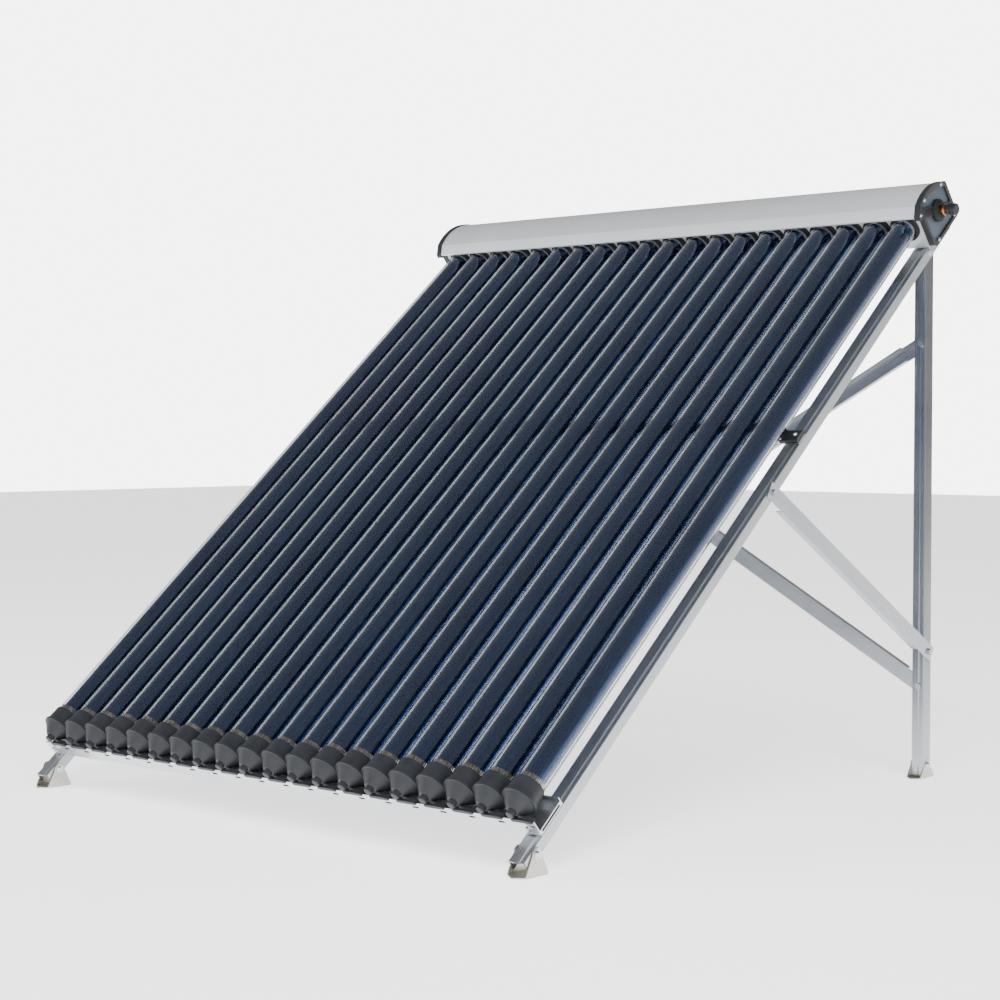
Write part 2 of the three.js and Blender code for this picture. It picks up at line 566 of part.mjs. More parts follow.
// Cross brace between the legs: the first faces forwards, the second is turned round and lies behind it.
function crossBrace(facing) {
  const reach = LEG_FACE - CROSS_BRACE_INSET;
  const rise = crossBraceHigh() - CROSS_BRACE_LOW;
  const length = Math.hypot(2 * reach, rise);
  const angle = THREE.MathUtils.radToDeg(Math.atan2(rise, 2 * reach));
  const flange = LEG_FRONT + STRIP_RISE + LEG_WALL + GAP;
  const web = facing > 0 ? flange : flange + BRACE_WALL + GAP;
  // The channel lies along x with its web outermost; its flanges point forwards, or rearwards once mirrored.
  const channel = braceChannel(length).rotate([0, 0, -90]).mirror([0, 1, 0]);
  const faced = facing > 0 ? channel : channel.mirror([0, 1, 0]).translate([0, BRACE_WALL, 0]);
  const laid = faced.rotate([0, -angle, 0]).translate([-reach, web, CROSS_BRACE_LOW]);
  const limit = LEG_FACE - LEG_WALL - GAP;
  const trimmed = laid.intersect(block(-limit, limit, -FAR, FAR, -FAR, FAR));
  const shankEnd = web + BRACE_WALL + BOLT_TAIL;
  const head = rod(BOLT_HEAD_RADIUS, LEG_FRONT - GAP - BOLT_HEAD_LENGTH, LEG_FRONT - GAP, 6);
  const bolt = head.add(rod(BOLT_RADIUS, LEG_FRONT - GAP - EMBED, shankEnd, BOLT_SIDES));
  const fixing = facing > 0 ? bolt : bolt.add(rod(SPACER_RADIUS, flange, web + EMBED, BOLT_SIDES));
  const low = fixing.translate([-reach, 0, CROSS_BRACE_LOW]);
  const high = fixing.translate([reach, 0, crossBraceHigh()]);
  const brace = joinAll([trimmed, low, high]);
  return facing > 0 ? brace : mirrored(brace);
}

// Pressed foot: pointed base plate, a domed lug each side of the profile and the pivot bolt through both.
function foot(innerHalf, height) {
  const [inner, outer] = [innerHalf + GAP, innerHalf + GAP + FOOT_PLATE];
  const front = [[-outer, -FOOT_SHOULDER], [0, -FOOT_TIP], [outer, -FOOT_SHOULDER]];
  const rear = [[outer, FOOT_SHOULDER], [0, FOOT_TIP], [-outer, FOOT_SHOULDER]];
  const plate = prismZ(outline([...front, ...rear]), -height, FOOT_PLATE - height);
  const side = new THREE.Shape();
  const shoulder = FOOT_LUG_SHOULDER;
  side.moveTo(-FOOT_SHOULDER, EMBED - height);
  side.lineTo(FOOT_SHOULDER, EMBED - height);
  side.lineTo(FOOT_LUG_RADIUS * Math.cos(shoulder), FOOT_LUG_RADIUS * Math.sin(shoulder));
  side.absarc(0, 0, FOOT_LUG_RADIUS, shoulder, Math.PI - shoulder, false);
  const lugs = [prismX(side, inner, outer), prismX(side, -outer, -inner)];
  const bolt = boltX(outer, 2 * outer).add(boltX(-outer, EMBED, -1));
  return joinAll([plate, ...lugs, bolt]);
}

// ---------- assembly ----------
const collector = new THREE.Group();
collector.rotation.x = tilt;
collector.position.z = COLLECTOR_HEIGHT;
const tubeSolid = evacuatedTube();
const cupSolid = tubeCup();
tubeAxes.forEach((x, i) => {
  const tube = piece(`evacuated_tube_${twoDigits(i)}`, tubeSolid, glassFinish);
  const cup = piece(`tube_cup_${twoDigits(i)}`, cupSolid, blackPlastic);
  tube.position.x = x;
  cup.position.x = x;
  collector.add(tube, cup);
});
collector.add(
  piece('header_cover', headerCover(), coverFinish),
  piece('header_base', headerBase(), aluminium),
  piece('end_cap_right', endCap(), blackPlastic),
  piece('end_cap_left', mirrored(endCap()), blackPlastic),
  piece('header_pipe', headerPipe(), copper),
  piece('pipe_cap_right', pipeCap(), blackPlastic),
  piece('bottom_track', bottomTrack(), aluminium),
  piece('mid_rail', midRail(), aluminium),
  piece('front_rail_right', frontRail(RAIL_CENTRE), aluminium),
  piece('front_rail_left', frontRail(-RAIL_CENTRE), aluminium),
);

const stand = new THREE.Group();
const leg = rearLeg();
const brace = sideBrace();
const frontFoot = foot(RAIL_WIDTH / 2, FRONT_PIVOT_HEIGHT);
const rearFoot = foot(LEG_WIDTH / 2, REAR_PIVOT_HEIGHT);
stand.add(
  piece('rear_leg_right', leg, aluminium),
  piece('rear_leg_left', mirrored(leg), aluminium),
  piece('side_brace_right', brace, aluminium),
  piece('side_brace_left', mirrored(brace), aluminium),
  piece('cross_brace_front', crossBrace(1), aluminium),
  piece('cross_brace_rear', crossBrace(-1), aluminium),
);
for (const [side, sign] of [['right', 1], ['left', -1]]) {
  const front = piece(`front_foot_${side}`, frontFoot, zinc);
  front.position.set(sign * RAIL_CENTRE, FRONT_PIVOT_Y, FRONT_PIVOT_HEIGHT);
  const rear = piece(`rear_foot_${side}`, rearFoot, zinc);
  rear.position.set(sign * LEG_CENTRE, LEG_Y, REAR_PIVOT_HEIGHT);
  stand.add(front, rear);
}

const heater = new THREE.Group();
heater.add(collector, stand);
heater.updateMatrixWorld(true);
const footprint = new THREE.Box3().setFromObject(heater, true);
heater.position.set(-(footprint.min.x + footprint.max.x) / 2, -(footprint.min.y + footprint.max.y) / 2, 0);

export default heater;
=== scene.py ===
"""Evacuated-tube solar water heater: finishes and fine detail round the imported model, in a plain studio."""
import json
import logging
import math
from dataclasses import dataclass
from enum import Enum

import bmesh
import bpy
from mathutils import Matrix, Vector


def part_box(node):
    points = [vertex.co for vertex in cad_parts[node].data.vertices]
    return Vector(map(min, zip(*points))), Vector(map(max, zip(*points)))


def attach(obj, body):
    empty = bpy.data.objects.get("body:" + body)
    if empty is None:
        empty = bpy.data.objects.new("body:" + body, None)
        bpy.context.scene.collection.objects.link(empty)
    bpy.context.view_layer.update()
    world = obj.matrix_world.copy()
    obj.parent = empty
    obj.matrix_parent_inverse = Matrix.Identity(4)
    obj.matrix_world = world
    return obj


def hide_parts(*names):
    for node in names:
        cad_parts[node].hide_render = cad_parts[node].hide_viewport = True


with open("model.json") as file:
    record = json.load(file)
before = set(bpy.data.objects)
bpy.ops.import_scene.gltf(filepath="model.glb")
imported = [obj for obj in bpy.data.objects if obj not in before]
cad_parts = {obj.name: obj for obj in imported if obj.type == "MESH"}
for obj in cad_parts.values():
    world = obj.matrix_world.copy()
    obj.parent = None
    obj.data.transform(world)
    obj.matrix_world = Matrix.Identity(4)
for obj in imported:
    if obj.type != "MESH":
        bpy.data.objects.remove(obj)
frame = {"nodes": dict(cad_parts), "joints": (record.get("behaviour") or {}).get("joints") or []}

LOG = logging.getLogger("solar_heater")
MM = 0.001
ROOT = "collector_on_stand"
TUBES = sorted(name for name in frame["nodes"] if name.startswith("evacuated_tube_"))
CUPS = sorted(name for name in frame["nodes"] if name.startswith("tube_cup_"))


# ---------- frames ----------
def hinge(name: str) -> Vector:
    """Where a joint's axis passes, in metres."""
    return Vector(next(joint["pos_m"] for joint in frame["joints"] if joint["name"] == name))


@dataclass(frozen=True)
class Slope:
    """The collector's own frame in millimetres: x across, y up the slope, z out of the glass."""

    tilt: float = math.radians(40)
    pivot_along: float = 8.0
    pivot_below: float = 71.55

    def matrix(self) -> Matrix:
        """Takes millimetres on the slope to metres in the row frame.

        Returns:
            The matrix, fixed by the front feet's hinges.
        """
        right, left = hinge("front_foot_right_pivot"), hinge("front_foot_left_pivot")
        c, s = math.cos(self.tilt), math.sin(self.tilt)
        down = MM * (self.pivot_along * s - self.pivot_below * c)
        back = MM * (self.pivot_along * c + self.pivot_below * s)
        origin = Vector(((right.x + left.x) / 2, right.y - back, right.z - down))
        return Matrix.Translation(origin) @ Matrix.Rotation(self.tilt, 4, "X") @ Matrix.Scale(MM, 4)


SLOPE = Slope().matrix()
LEVEL = Matrix.Translation((SLOPE.translation.x, 0, 0)) @ Matrix.Scale(MM, 4)
ALONG_X = Matrix(((0, 0, 1, 0), (1, 0, 0, 0), (0, 1, 0, 0), (0, 0, 0, 1)))
ALONG_Y = Matrix(((1, 0, 0, 0), (0, 0, 1, 0), (0, 1, 0, 0), (0, 0, 0, 1)))
UPRIGHT = Matrix.Identity(4)


# ---------- outlines ----------
def rounded(points: list, radii: list, steps: int = 5, closed: bool = True) -> list:
    """Rounds the corners of a polyline.

    Args:
        points: The corners, in millimetres.
        radii: One radius for each corner, 0 for a sharp one.
        steps: Faces on each rounded corner.
        closed: Whether the last corner joins the first.

    Returns:
        The rounded outline's points.
    """
    result = []
    for i, (corner, radius) in enumerate(zip(points, radii)):
        here = Vector(corner)
        if radius == 0 or (not closed and i in (0, len(points) - 1)):
            result.append(here)
            continue
        back = Vector(points[i - 1]) - here
        onward = Vector(points[(i + 1) % len(points)]) - here
        half = back.angle(onward) / 2
        reach = min(radius / math.tan(half), back.length * 0.49, onward.length * 0.49)
        start, end = here + back.normalized() * reach, here + onward.normalized() * reach
        for k in range(steps + 1):
            t = k / steps
            result.append(start * (1 - t) ** 2 + here * (2 * t * (1 - t)) + end * t ** 2)
    return [(p.x, p.y) for p in result]


def sheet(line: list, wall: float) -> list:
    """The closed section of a sheet that follows a line.

    Args:
        line: The sheet's outer face, as points.
        wall: Its thickness, laid to the right of the line.

    Returns:
        The section's points.
    """
    inner = []
    for i, point in enumerate(line):
        here = Vector(point)
        before = (here - Vector(line[i - 1])).normalized() if i else None
        after = (Vector(line[i + 1]) - here).normalized() if i < len(line) - 1 else None
        along = ((before or after) + (after or before)).normalized()
        side = Vector((along.y, -along.x))
        lean = max(0.5, along.dot(after or before))
        inner.append(here + side * (wall / lean))
    return list(line) + [(p.x, p.y) for p in reversed(inner)]


def arc(front: tuple, rear: tuple, rise: float, steps: int) -> list:
    """Points of the arch that stands on a chord.

    Args:
        front: The chord's front end.
        rear: Its rear end.
        rise: The crown's height over the chord.
        steps: Faces along the arch.

    Returns:
        The arch's points, front to rear.
    """
    a, b = Vector(front), Vector(rear)
    half = (b - a).length / 2
    radius = (half * half + rise * rise) / (2 * rise)
    along = (b - a).normalized()
    out = Vector((-along.y, along.x))
    reach = math.asin(half / radius)
    points = []
    for i in range(steps + 1):
        angle = reach * (2 * i / steps - 1)
        lift = radius * math.cos(angle) - (radius - rise)
        points.append(a + along * (half + radius * math.sin(angle)) + out * lift)
    return [(p.x, p.y) for p in points]


# ---------- meshes ----------
class Body:
    """Closed shapes in millimetres, gathered into one mesh."""

    def __init__(self, place: Matrix) -> None:
        """Starts empty; place takes millimetres to the row frame in metres."""
        self.place = place
        self.points: list = []
        self.faces: list = []
        self.slots: list = []

    def add(self, points: list, faces: list, slot: int = 0, hollow: bool = False) -> None:
        """Adds one closed shape with its faces turned outwards, or inwards for a hollow.

        Args:
            points: Its corners.
            faces: Its faces, as lists of corner numbers.
            slot: The material slot that it takes.
            hollow: Whether it is the inner wall of the shape round it.
        """
        placed = [self.place @ Vector(p) for p in points]
        centre = sum(placed, Vector()) / len(placed)
        volume = 0.0
        for face in faces:
            a = placed[face[0]] - centre
            for i in range(1, len(face) - 1):
                volume += a.dot((placed[face[i]] - centre).cross(placed[face[i + 1]] - centre))
        if (volume < 0) != hollow:
            faces = [list(reversed(face)) for face in faces]
        start = len(self.points)
        self.points += placed
        self.faces += [[start + i for i in face] for face in faces]
        self.slots += [slot] * len(faces)

    def turned(self, profile: list, frame_of: Matrix, sides: int = 48, slot: int = 0) -> None:
        """Adds a turned shape.

        Args:
            profile: (radius, distance) pairs, from axis to axis, or a loop that stays off the axis.
            frame_of: Places the turning axis, which is z.
            sides: Faces round it.
            slot: The material slot that it takes.
        """
        points, rings, faces = [], [], []
        for radius, along in profile:
            count = sides if radius > 0 else 1
            rings.append(list(range(len(points), len(points) + count)))
            for k in range(count):
                angle = 2 * math.pi * k / sides
                points.append(frame_of @ Vector((radius * math.cos(angle), radius * math.sin(angle), along)))
        pairs = list(zip(rings, rings[1:]))
        if profile[0][0] > 0:
            pairs.append((rings[-1], rings[0]))
        for low, high in pairs:
            for k in range(sides):
                corners = [low[k % len(low)], low[(k + 1) % len(low)], high[(k + 1) % len(high)], high[k % len(high)]]
                faces.append(list(dict.fromkeys(corners)))
        self.add(points, faces, slot)

    def prism(self, outline: list, start: float, end: float, frame_of: Matrix, slot: int = 0) -> None:
        """Adds a prism.

        Args:
            outline: Its section, as points.
            start: Where it starts along z of its own frame.
            end: Where it ends.
            frame_of: Places that frame.
            slot: The material slot that it takes.
        """
        n = len(outline)
        points = [frame_of @ Vector((x, y, z)) for z in (start, end) for x, y in outline]
        faces = [[i, (i + 1) % n, n + (i + 1) % n, n + i] for i in range(n)]
        faces += [list(range(n)), list(range(n, 2 * n))]
        self.add(points, faces, slot)

    def piece(self, name: str, finishes: list, smooth: float = 35.0) -> bpy.types.Object:
        """Makes the object.

        Args:
            name: The piece's name.
            finishes: A material for each slot.
            smooth: The angle in degrees under which an edge is smooth.

        Returns:
            The object, at the origin, with its place in its mesh.
        """
        mesh = bpy.data.meshes.new(name)
        mesh.from_pydata(self.points, [], self.faces)
        mesh.polygons.foreach_set("material_index", self.slots)
        return as_piece(name, mesh, finishes, smooth)


def as_piece(name: str, mesh: bpy.types.Mesh, finishes: list, smooth: float = 35.0) -> bpy.types.Object:
    """Links a mesh as a finished piece with smooth faces and sharp edges."""
    mesh.name = name
    mesh.materials.clear()
    for finish in finishes:
        mesh.materials.append(finish)
    mesh.polygons.foreach_set("use_smooth", [True] * len(mesh.polygons))
    mesh.set_sharp_from_angle(angle=math.radians(smooth))
    mesh.update()
    piece = bpy.data.objects.new(name, mesh)
    bpy.context.scene.collection.objects.link(piece)
    return piece


def soften(piece: bpy.types.Object, width: float, segments: int = 2) -> bpy.types.Object:
    """Rounds a piece's sharp edges, as moulding or pressing does.

    Args:
        piece: The object.
        width: The rounding, in millimetres.
        segments: Faces across it.

    Returns:
        The same object.
    """
    bevel = piece.modifiers.new("rounded edges", "BEVEL")
    bevel.width = width * MM
    bevel.segments = segments
    bevel.limit_method = "ANGLE"
    bevel.angle_limit = math.radians(35)
    bevel.harden_normals = True
    return piece


def plate(name: str, loops: list, thickness: float, edge: float, place: Matrix) -> bpy.types.Mesh:
    """A flat plate with holes and rounded edges.

    Args:
        name: The mesh's name.
        loops: Its outline and then its holes, as points.
        thickness: Across the plate, centred on z = 0.
        edge: The rounding of its edges.
        place: Takes its millimetres to the row frame.

    Returns:
        The closed mesh, in the row frame.
    """
    curve = bpy.data.curves.new(name, "CURVE")
    curve.dimensions = "2D"
    curve.fill_mode = "BOTH"
    curve.extrude = thickness / 2 - edge
    curve.bevel_depth = edge
    curve.offset = -edge
    curve.bevel_resolution = 2
    for loop in loops:
        spline = curve.splines.new("POLY")
        spline.points.add(len(loop) - 1)
        for point, (x, y) in zip(spline.points, loop):
            point.co = (x, y, 0, 1)
        spline.use_cyclic_u = True
    holder = bpy.data.objects.new(name, curve)
    bpy.context.scene.collection.objects.link(holder)
    mesh = evaluated(holder)
    mesh.transform(place)
    if place.determinant() < 0:
        mesh.flip_normals()
    return welded(mesh)


def evaluated(holder: bpy.types.Object) -> bpy.types.Mesh:
    """Turns an object with its modifiers into a plain mesh and removes the object."""
    graph = bpy.context.evaluated_depsgraph_get()
    mesh = bpy.data.meshes.new_from_object(holder.evaluated_get(graph), depsgraph=graph)
    bpy.data.objects.remove(holder)
    return mesh


def welded(mesh: bpy.types.Mesh) -> bpy.types.Mesh:
    """Joins a mesh's doubled corners and turns its faces outwards."""
    work = bmesh.new()
    work.from_mesh(mesh)
    bmesh.ops.remove_doubles(work, verts=work.verts, dist=1e-6)
    bmesh.ops.recalc_face_normals(work, faces=work.faces)
    work.to_mesh(mesh)
    work.free()
    return mesh


def merged(meshes: list) -> bpy.types.Mesh:
    """Joins meshes, keeping each one's faces and giving each its own material slot number."""
    points, faces, slots = [], [], []
    for slot, mesh in enumerate(meshes):
        start = len(points)
        points += [v.co.copy() for v in mesh.vertices]
        faces += [[start + i for i in face.vertices] for face in mesh.polygons]
        slots += [slot] * len(mesh.polygons)
    joined = bpy.data.meshes.new(meshes[0].name)
    joined.from_pydata(points, [], faces)
    joined.polygons.foreach_set("material_index", slots)
    return joined


# ---------- materials ----------
def linear(code: str) -> tuple:
    """Turns an sRGB hex colour into linear values with alpha 1."""
    parts = [int(code[i:i + 2], 16) / 255 for i in (1, 3, 5)]
    return (*[p / 12.92 if p <= 0.04045 else ((p + 0.055) / 1.055) ** 2.4 for p in parts], 1.0)


def add(tree: bpy.types.NodeTree, kind: str, inputs: dict | None = None, **settings: object) -> bpy.types.Node:
    """Adds a node with its settings, values and links.

    Args:
        tree: The tree that it goes into.
        kind: The node's type.
        inputs: Socket name or number to a value, or to the output socket that feeds it.
        settings: The node's own properties.

    Returns:
        The node.
    """
    node = tree.nodes.new(kind)
    for name, value in settings.items():
        setattr(node, name, value)
    for socket, value in (inputs or {}).items():
        if isinstance(value, bpy.types.NodeSocket):
            tree.links.new(value, node.inputs[socket])
        else:
            node.inputs[socket].default_value = value
    return node


class Grain(Enum):
    """Which way a finish's marks run: the grain frame's turn, and the axis that they run along."""

    NONE = ((0.0, 0.0, 0.0), None)
    ACROSS = ((math.radians(40), 0.0, 0.0), 0)
    UP_SLOPE = ((math.radians(40), 0.0, 0.0), 1)
    UPRIGHT = ((0.0, 0.0, 0.0), 2)
    RISING_RIGHT = ((0.0, -math.radians(29.1), 0.0), 0)
    RISING_LEFT = ((0.0, math.radians(29.1), 0.0), 0)
    SIDE_BRACE = ((math.radians(-30.5), 0.0, 0.0), 1)


@dataclass(frozen=True)
class Finish:
    """A solid surface: two close tones, a roughness range and a fine relief, all from real sizes."""

    name: str
    tones: tuple
    roughness: tuple
    metallic: float = 0.0
    mark_mm: float = 1.0
    run_mm: float = 1.0
    grain: Grain = Grain.NONE
    relief_mm: float = 0.01
    cloud_mm: float = 120.0
    coat: float = 0.0
    ior: float = 1.5

    def build(self) -> bpy.types.Material:
        """Makes the material's node tree.

        Returns:
            The material.
        """
        material = bpy.data.materials.new(self.name)
        material.use_nodes = True
        tree = material.node_tree
        surface = tree.nodes["Principled BSDF"]
        surface.inputs["Metallic"].default_value = self.metallic
        surface.inputs["Coat Weight"].default_value = self.coat
        surface.inputs["Coat Roughness"].default_value = 0.08
        surface.inputs["IOR"].default_value = self.ior
        turn, axis = self.grain.value
        size = [self.mark_mm * MM] * 3
        if axis is not None:
            size[axis] = self.run_mm * MM
        where = add(tree, "ShaderNodeTexCoord")
        marks_at = add(tree, "ShaderNodeMapping", {"Vector": where.outputs["Object"], "Rotation": turn, "Scale": size},
                       vector_type="TEXTURE")
        marks = add(tree, "ShaderNodeTexNoise", {"Vector": marks_at.outputs[0], "Scale": 1.0, "Detail": 3.0})
        clouds = add(tree, "ShaderNodeTexNoise", {"Vector": where.outputs["Object"],
                                                   "Scale": 1 / (self.cloud_mm * MM), "Detail": 4.0})
        both = add(tree, "ShaderNodeMath", {0: marks.outputs["Fac"], 1: clouds.outputs["Fac"]}, operation="ADD")
        spread = add(tree, "ShaderNodeMapRange", {"Value": both.outputs[0], "From Min": 0.75, "From Max": 1.25})
        tone = add(tree, "ShaderNodeMix", {0: spread.outputs[0], 6: linear(self.tones[0]), 7: linear(self.tones[1])},
                   data_type="RGBA")
        rough = add(tree, "ShaderNodeMapRange", {"Value": both.outputs[0], "From Min": 0.75, "From Max": 1.25,
                                                  "To Min": self.roughness[0], "To Max": self.roughness[1]})
        tree.links.new(tone.outputs[2], surface.inputs["Base Color"])
        tree.links.new(rough.outputs[0], surface.inputs["Roughness"])
        if self.relief_mm > 0:
            relief = add(tree, "ShaderNodeBump", {"Height": marks.outputs["Fac"], "Strength": 0.6,
                                                   "Distance": self.relief_mm * MM})
            tree.links.new(relief.outputs[0], surface.inputs["Normal"])
        return material


@dataclass(frozen=True)
class ClearGlass:
    """Drawn borosilicate tube: water-clear and fire-polished, with a trace of dust in its tint."""

    name: str = "borosilicate glass, drawn"
    ior: float = 1.473
    dust_mm: float = 35.0

    def build(self) -> bpy.types.Material:
        """Makes the material's node tree."""
        material = bpy.data.materials.new(self.name)
        material.use_nodes = True
        tree = material.node_tree
        surface = tree.nodes["Principled BSDF"]
        surface.inputs["Roughness"].default_value = 0.0
        surface.inputs["Transmission Weight"].default_value = 1.0
        surface.inputs["IOR"].default_value = self.ior
        where = add(tree, "ShaderNodeTexCoord")
        dust = add(tree, "ShaderNodeTexNoise", {"Vector": where.outputs["Object"], "Scale": 1 / (self.dust_mm * MM),
                                                 "Detail": 5.0})
        tint = add(tree, "ShaderNodeMix", {0: dust.outputs["Fac"], 6: linear("#eef4f8"), 7: linear("#fafcfd")},
                   data_type="RGBA")
        tree.links.new(tint.outputs[2], surface.inputs["Base Color"])
        return material


COATING = Finish("selective absorber coating, sputtered", ("#203763", "#2c4674"), (0.2, 0.3), metallic=0.7,
                 mark_mm=7, run_mm=900, grain=Grain.UP_SLOPE, relief_mm=0, cloud_mm=260)
GETTER = Finish("barium getter film, flashed", ("#7a6f64", "#cfc6bb"), (0.12, 0.3), metallic=1.0, mark_mm=2.5,
                run_mm=20, grain=Grain.UP_SLOPE, relief_mm=0, cloud_mm=15)
# The bare glass end is real, but its pale lavender-white tone is painted highlight: it stands in for the bright rim of
# glass at the tube tops.
GLASS_END_PAINTED_HIGHLIGHT = Finish("uncoated glass end, frosted", ("#c3c8e2", "#dcdff0"), (0.25, 0.4), mark_mm=3, relief_mm=0,
                  cloud_mm=20)
CUP_PLASTIC = Finish("polypropylene, moulded with a fine spark texture", ("#1e2024", "#2b2d32"), (0.42, 0.58),
                     mark_mm=0.8, relief_mm=0.06, cloud_mm=30, ior=1.4)
CAP_PLASTIC = Finish("ABS, moulded", ("#15171b", "#1f2126"), (0.35, 0.5), mark_mm=0.8, relief_mm=0.03, cloud_mm=40)
RUBBER = Finish("EPDM rubber, moulded", ("#08090a", "#101113"), (0.7, 0.85), mark_mm=0.9, relief_mm=0.05, cloud_mm=12)
COVER = Finish("aluminium sheet, clear anodised", ("#c6cacf", "#d2d6da"), (0.36, 0.44), metallic=0.55, mark_mm=0.9,
               run_mm=160, grain=Grain.ACROSS, relief_mm=0.004, cloud_mm=300)
CASING = Finish("aluminium sheet, mill finish", ("#c4c8cc", "#d2d5d8"), (0.36, 0.48), metallic=0.5, mark_mm=0.9,
                run_mm=120, grain=Grain.ACROSS, relief_mm=0.006, cloud_mm=200)
PANEL = Finish("aluminium sheet, painted blue-grey", ("#3f4955", "#4d5763"), (0.4, 0.5), metallic=0.3, mark_mm=1.2,
               relief_mm=0.01, cloud_mm=60)
COPPER = Finish("copper pipe, drawn", ("#a85c3e", "#c98563"), (0.2, 0.34), metallic=1.0, mark_mm=0.8, run_mm=40,
                grain=Grain.ACROSS, relief_mm=0.01, cloud_mm=18)
ZINC = Finish("pressed steel, zinc plated", ("#b9b5aa", "#cfccc4"), (0.26, 0.42), metallic=0.95, mark_mm=3.0,
              relief_mm=0.02, cloud_mm=14)
STAINLESS = Finish("stainless steel, cold headed", ("#c8cacd", "#dfe0e2"), (0.15, 0.28), metallic=1.0, mark_mm=0.7,
                   relief_mm=0.01, cloud_mm=8)


def extruded(name: str, grain: Grain, tones: tuple = ("#a9adb2", "#bcc0c4")) -> Finish:
    """Anodised extrusion, whose die lines run along the bar."""
    return Finish(name, tones, (0.26, 0.36), metallic=0.95, mark_mm=0.8, run_mm=220, grain=grain, relief_mm=0.005,
                  cloud_mm=240)


# ---------- geometry nodes ----------
class Tree:
    """A geometry node tree with named inputs, and the way to run it once."""

    def __init__(self, name: str, sockets: dict) -> None:
        """Makes the tree with a geometry input, the named inputs and a geometry output.

        Args:
            name: The tree's name.
            sockets: Input name to socket type.
        """
        self.tree = bpy.data.node_groups.new(name, "GeometryNodeTree")
        face = self.tree.interface
        face.new_socket("Geometry", in_out="INPUT", socket_type="NodeSocketGeometry")
        for label, kind in sockets.items():
            face.new_socket(label, in_out="INPUT", socket_type=kind)
        face.new_socket("Geometry", in_out="OUTPUT", socket_type="NodeSocketGeometry")
        self.given = add(self.tree, "NodeGroupInput").outputs
        self.result = add(self.tree, "NodeGroupOutput")

    def close(self, geometry: bpy.types.NodeSocket) -> None:
        """Ends the tree: instances become real and take their material."""
        real = add(self.tree, "GeometryNodeRealizeInstances", {"Geometry": geometry})
        dressed = add(self.tree, "GeometryNodeSetMaterial", {"Geometry": real.outputs[0],
                                                              "Material": self.given["Material"]})
        self.tree.links.new(dressed.outputs[0], self.result.inputs[0])

    def run(self, mesh: bpy.types.Mesh, values: dict) -> bpy.types.Mesh:
        """Runs the tree on a mesh.

        Args:
            mesh: What goes into the tree.
            values: Input name to value.

        Returns:
            The plain mesh that comes out.
        """
        holder = bpy.data.objects.new(self.tree.name, mesh)
        bpy.context.scene.collection.objects.link(holder)
        modifier = holder.modifiers.new(self.tree.name, "NODES")
        modifier.node_group = self.tree
        for item in self.tree.interface.items_tree:
            if item.in_out == "INPUT" and item.name in values:
                modifier[item.identifier] = values[item.name]
        return evaluated(holder)


def empty_mesh(points: list | None = None) -> bpy.types.Mesh:
    """A mesh of loose points for a tree to start from."""
    mesh = bpy.data.meshes.new("points")
    mesh.from_pydata(points or [(0, 0, 0)], [], [])
    return mesh


def sealed_tube_tree(steps: int = 10, rings: int = 20) -> Tree:
    """A tube drawn out along z: a domed tip at z = 0, straight walls, and a rounded shoulder at the far end.

    Args:
        steps: Rings on the tip, and again on the shoulder.
        rings: Rings along the straight wall, which keep its faces short enough to shade cleanly.

    Returns:
        The tree, whose sizes are in metres.
    """
    made = Tree("sealed tube", {"Radius": "NodeSocketFloat", "Length": "NodeSocketFloat", "Tip": "NodeSocketFloat",
                                "Shoulder": "NodeSocketFloat", "Material": "NodeSocketMaterial"})
    tree, given = made.tree, made.given
    wall_end = steps + rings + 1

    def math_of(operation: str, *values: object) -> bpy.types.NodeSocket:
        """Adds one sum and returns its output."""
        return add(tree, "ShaderNodeMath", dict(enumerate(values)), operation=operation).outputs[0]

    line = add(tree, "GeometryNodeMeshLine", {"Count": wall_end + steps + 1, "Offset": (0, 0, 1e-4)})
    index = add(tree, "GeometryNodeInputIndex").outputs[0]
    quarter = math.pi / 2
    low = add(tree, "ShaderNodeMapRange", {"Value": index, "From Max": float(steps), "To Max": quarter}).outputs[0]
    high = add(tree, "ShaderNodeMapRange", {"Value": index, "From Min": float(wall_end),
                                             "From Max": float(wall_end + steps), "To Max": quarter}).outputs[0]
    share = add(tree, "ShaderNodeMapRange", {"Value": index, "From Min": float(steps),
                                              "From Max": float(wall_end)}).outputs[0]
    tip_z = math_of("MULTIPLY", math_of("SUBTRACT", 1.0, math_of("COSINE", low)), given["Tip"])
    ends = math_of("ADD", given["Tip"], given["Shoulder"])
    wall_z = math_of("MULTIPLY", math_of("SUBTRACT", given["Length"], ends), share)
    top_z = math_of("MULTIPLY", math_of("SINE", high), given["Shoulder"])
    z = math_of("ADD", math_of("ADD", tip_z, wall_z), top_z)
    tip_r = math_of("MULTIPLY", math_of("SINE", low), given["Radius"])
    inset = math_of("MULTIPLY", math_of("SUBTRACT", 1.0, math_of("COSINE", high)), given["Shoulder"])
    radius = math_of("SUBTRACT", tip_r, inset)
    place = add(tree, "ShaderNodeCombineXYZ", {"Z": z}).outputs[0]
    held = add(tree, "GeometryNodeStoreNamedAttribute", {"Geometry": line.outputs[0], "Name": "girth", "Value": radius})
    spine = add(tree, "GeometryNodeSetPosition", {"Geometry": held.outputs[0], "Position": place})
    path = add(tree, "GeometryNodeMeshToCurve", {"Mesh": spine.outputs[0]})
    ring = add(tree, "GeometryNodeCurvePrimitiveCircle", {"Resolution": 48, "Radius": 1.0})
    girth = add(tree, "GeometryNodeInputNamedAttribute", {"Name": "girth"})
    wall = add(tree, "GeometryNodeCurveToMesh", {"Curve": path.outputs[0], "Profile Curve": ring.outputs[0],
                                                  "Scale": girth.outputs[0], "Fill Caps": True})
    whole = add(tree, "GeometryNodeMergeByDistance", {"Geometry": wall.outputs[0], "Distance": 1e-6})
    made.close(whole.outputs[0])
    return made


